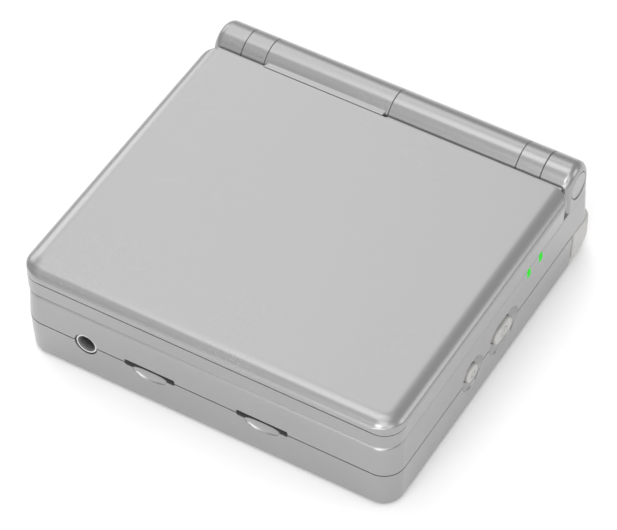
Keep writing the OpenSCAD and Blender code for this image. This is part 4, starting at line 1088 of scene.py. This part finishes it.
def side_key(node, flange, inner, face, foot, rise, thick, cuts):
    """Mesh of a side key on the right: a pill that swells by rise to its face and starts foot out from inner,
    on a plate wider by flange."""
    at, size = side_size(node, flange)
    levels = soft_edges(inner + foot, face - rise, EDGE, 0.4, 6)
    key = crowned(lambda i: pill(*(size - 2 * i)), levels, rise, "x", at)
    return carved(key, cuts, [prism(pill(*(size + flange)), inner, inner + thick, "x", at)])


class MakeSideKeys(bpy.types.Operator):
    """Power and reset buttons and the volume rocker"""

    bl_idname = "handheld.side_keys"
    bl_label = "Side keys"

    def execute(self, context):
        for node, _ in DISHES:
            low, high = span(node)
            marks = side_marks(node, high[0], side_size(node, 0)[0])
            key = side_key(node, SIDE_FLANGE, low[0], high[0], 0.5, 0.05, 0.55, marks)
            piece(node.replace("button", "key"), key, node, node, "keys")
        low, high = span("volume_rocker")
        dip = bowl((-low[0] + 6.8, *side_size("volume_rocker", 0)[0]), (7, 5.2, 8), 40, 48)
        rocker = side_key("volume_rocker", ROCKER_FLANGE, -high[0], -low[0], 0, 0.02, 0.65, [dip])
        piece("volume_key", mirrored(mesh_solid(rocker)), "volume_rocker", "volume_rocker", "keys")
        return {"FINISHED"}


class MakeScreen(bpy.types.Operator):
    """Glossy screen lens"""

    bl_idname = "handheld.screen"
    bl_label = "Screen lens"

    def execute(self, context):
        levels = soft_edges(lens_low[2], lens_high[2], 0.15, 0.05)
        lens = stack(lambda i: lens_outline(i, 0.35 - i / 2), levels)
        piece("lens", lens, "lid", "screen_lens", "glass")
        return {"FINISHED"}


class MakeSockets(bpy.types.Operator):
    """Turned nose of the headphone socket and the status lights"""

    bl_idname = "handheld.sockets"
    bl_label = "Headphone socket and lights"

    def execute(self, context):
        low, high = span("headphone_socket")
        profile = [(BORE_R, 12), (BORE_R, 0.75), (1.82, 0.45), (2.0, 0.18), (2.1, 0.04), (2.2, 0), (2.3, 0.03),
                   (2.4, 0.1), (2.45, 0.22), (2.45, 1.6), (2.45, 12)]
        nose = skin([laid(disc(r) + JACK, low[1] + y, "y") for r, y in profile], looped=True)
        case = brick((JACK[0] - 3.2, FRONT + 1.7, low[2]), (JACK[0] + 3.2, high[1], high[2]))
        bore = prism(disc(BORE_R), FRONT - 1, FRONT + 13, "y", JACK)
        socket = together(nose, mesh_solid(carved(case, [bore])))
        piece("headphone_nose", socket, "base", "headphone_socket", "nose")
        rim = skin([laid(base_outline(i, front), z, "z") for i, front, z in rim_levels()])
        lights = together(*[mesh_solid(carved(rim, keep=[block])) for block in light_blocks(0)])
        piece("light_pipes", lights, "base", "status_lights", "light")
        return {"FINISHED"}


NODE_FINISHES = {
    "steel": ["lid_screws", "hinge_cam", "hinge_cartridge", "hinge_bush", "trigger_pins", "trigger_springs",
              "dpad_pivot", "lid_magnet", "vibration_motor"],
    "socket": ["rear_sockets", "processor_shield"],
    "membrane": ["dpad_membrane", "face_membrane", "menu_membrane"],
    "black": ["board_chips", "card_sockets", "side_switches", "speaker"],
    "foam": ["display_foam", "screen_gasket", "speaker_gauze"],
    "flex": ["display_flex_cable", "hinge_flex_tail"],
    "board": ["main_board"],
    "cell": ["battery"],
    "cream": ["battery_connector", "display_connector"],
    "gold": ["wireless_antenna"],
    "display": ["display_panel"],
}


class FinishInsides(bpy.types.Operator):
    """Finishes for the CAD nodes that are shown as they are"""

    bl_idname = "handheld.insides"
    bl_label = "Inner parts"

    def execute(self, context):
        for finish, names in NODE_FINISHES.items():
            for name in names:
                materials = frame["nodes"][name].data.materials
                materials.clear()
                materials.append(finishes[finish])
        return {"FINISHED"}


FLOOR_HALF = 4000
FLOOR_CORNERS = np.array([[-1, -1, 0], [1, -1, 0], [1, 1, 0], [-1, 1, 0]]) * FLOOR_HALF
EYE, AIM = Vector((0.23826, -0.40908, 0.53075)), Vector((0.00091, -0.002659, 0.012))
FOCAL_LENGTH, SENSOR_WIDTH = 200, 36
SURROUND_LIGHT = 0.546
SOFTBOX_AWAY = 1.6

# Square softboxes: size in metres, elevation and azimuth in degrees, power in watts. Azimuth 0 is in front and
# 90 on the right.
SOFTBOXES = {
    "front_low": (0.8, 8, 0, 5.6),
    "front_low_left": (0.8, 20, 350, 1.0),
    "front_low_right": (0.8, 20, 20, 4.0),
    "front": (0.62, 46, 0, 4.8),
    "front_high": (0.8, 65, 22, 3.4),
    "right_low": (0.8, 27, 45, 1.9),
    "right": (0.62, 46, 60, 1.5),
    "right_back": (0.8, 27, 116, 3.0),
    "above": (0.8, 85, 240, 2.4),
    "left_high": (0.8, 65, 248, 2.2),
    "left": (0.8, 58, 312, 0.7),
    "left_back": (0.8, 27, 244, 3.2),
    "back_low": (0.8, 27, 219, 1.4),
    "back": (0.62, 46, 210, 1.4),
    "back_high": (0.8, 65, 202, 0.6),
}


def aimed(name, data, place):
    """Camera or light at a place, turned to the console."""
    obj = new_object(name, data)
    obj.location = place
    obj.rotation_euler = (AIM - place).to_track_quat("-Z", "Y").to_euler()
    return obj


class MakeStage(bpy.types.Operator):
    """Pale floor, soft lights and the camera"""

    bl_idname = "handheld.stage"
    bl_label = "Stage"

    def execute(self, context):
        scene = context.scene
        f, value = Finish("pale_floor"), settings().floor_grey
        floor = mesh_object("floor", (FLOOR_CORNERS, [[0, 1, 2, 3]]))
        floor.data.materials.append(f.done(
            Base_Color=f.mix(f.noise(3, 2), grey(value * 0.99), grey(value)), Roughness=0.9))
        camera = bpy.data.cameras.new("camera")
        camera.lens, camera.sensor_width = FOCAL_LENGTH, SENSOR_WIDTH
        camera.clip_start, camera.clip_end = 0.01, 50
        scene.camera = aimed("camera", camera, EYE)
        scene.world = bpy.data.worlds.new("studio")
        scene.world.use_nodes = True
        background = scene.world.node_tree.nodes["Background"]
        background.inputs["Color"].default_value = grey(1)
        background.inputs["Strength"].default_value = SURROUND_LIGHT
        scene.view_settings.view_transform = "Standard"
        for name, (size, elevation, azimuth, power) in SOFTBOXES.items():
            light = bpy.data.lights.new(name, "AREA")
            light.size, light.energy = size, power
            e, a = math.radians(elevation), math.radians(azimuth)
            direction = Vector((math.sin(a) * math.cos(e), -math.cos(a) * math.cos(e), math.sin(e)))
            aimed(name, light, direction * SOFTBOX_AWAY)
        return {"FINISHED"}


class HandheldPanel(bpy.types.Panel):
    """Lists the operators and settings"""

    bl_idname = "VIEW3D_PT_handheld"
    bl_label = "Handheld"
    bl_space_type = "VIEW_3D"
    bl_region_type = "UI"
    bl_category = "Handheld"

    def draw(self, context):
        for name in HandheldSettings.__annotations__:
            self.layout.prop(settings(), name)
        for maker in MAKERS:
            self.layout.operator(maker.bl_idname)


MAKERS = (MakeLidShells, MakeScreen, MakeBarrel, MakeHingeCaps, MakeBaseShells, MakeSmallShells, MakePad,
          MakeKeys, MakeTriggers, MakeSideKeys, MakeSockets, FinishInsides, MakeStage)
CLASSES = (HandheldSettings, *MAKERS, HandheldPanel)


def register():
    for cls in CLASSES:
        bpy.utils.register_class(cls)
    bpy.types.Scene.handheld = bpy.props.PointerProperty(type=HandheldSettings)


def unregister():
    del bpy.types.Scene.handheld
    for cls in reversed(CLASSES):
        bpy.utils.unregister_class(cls)


def main():
    """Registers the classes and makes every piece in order."""
    register()
    make_finishes(settings())
    for maker in MAKERS:
        group, name = maker.bl_idname.split(".")
        getattr(getattr(bpy.ops, group), name)()


if __name__ == "__main__":
    main()
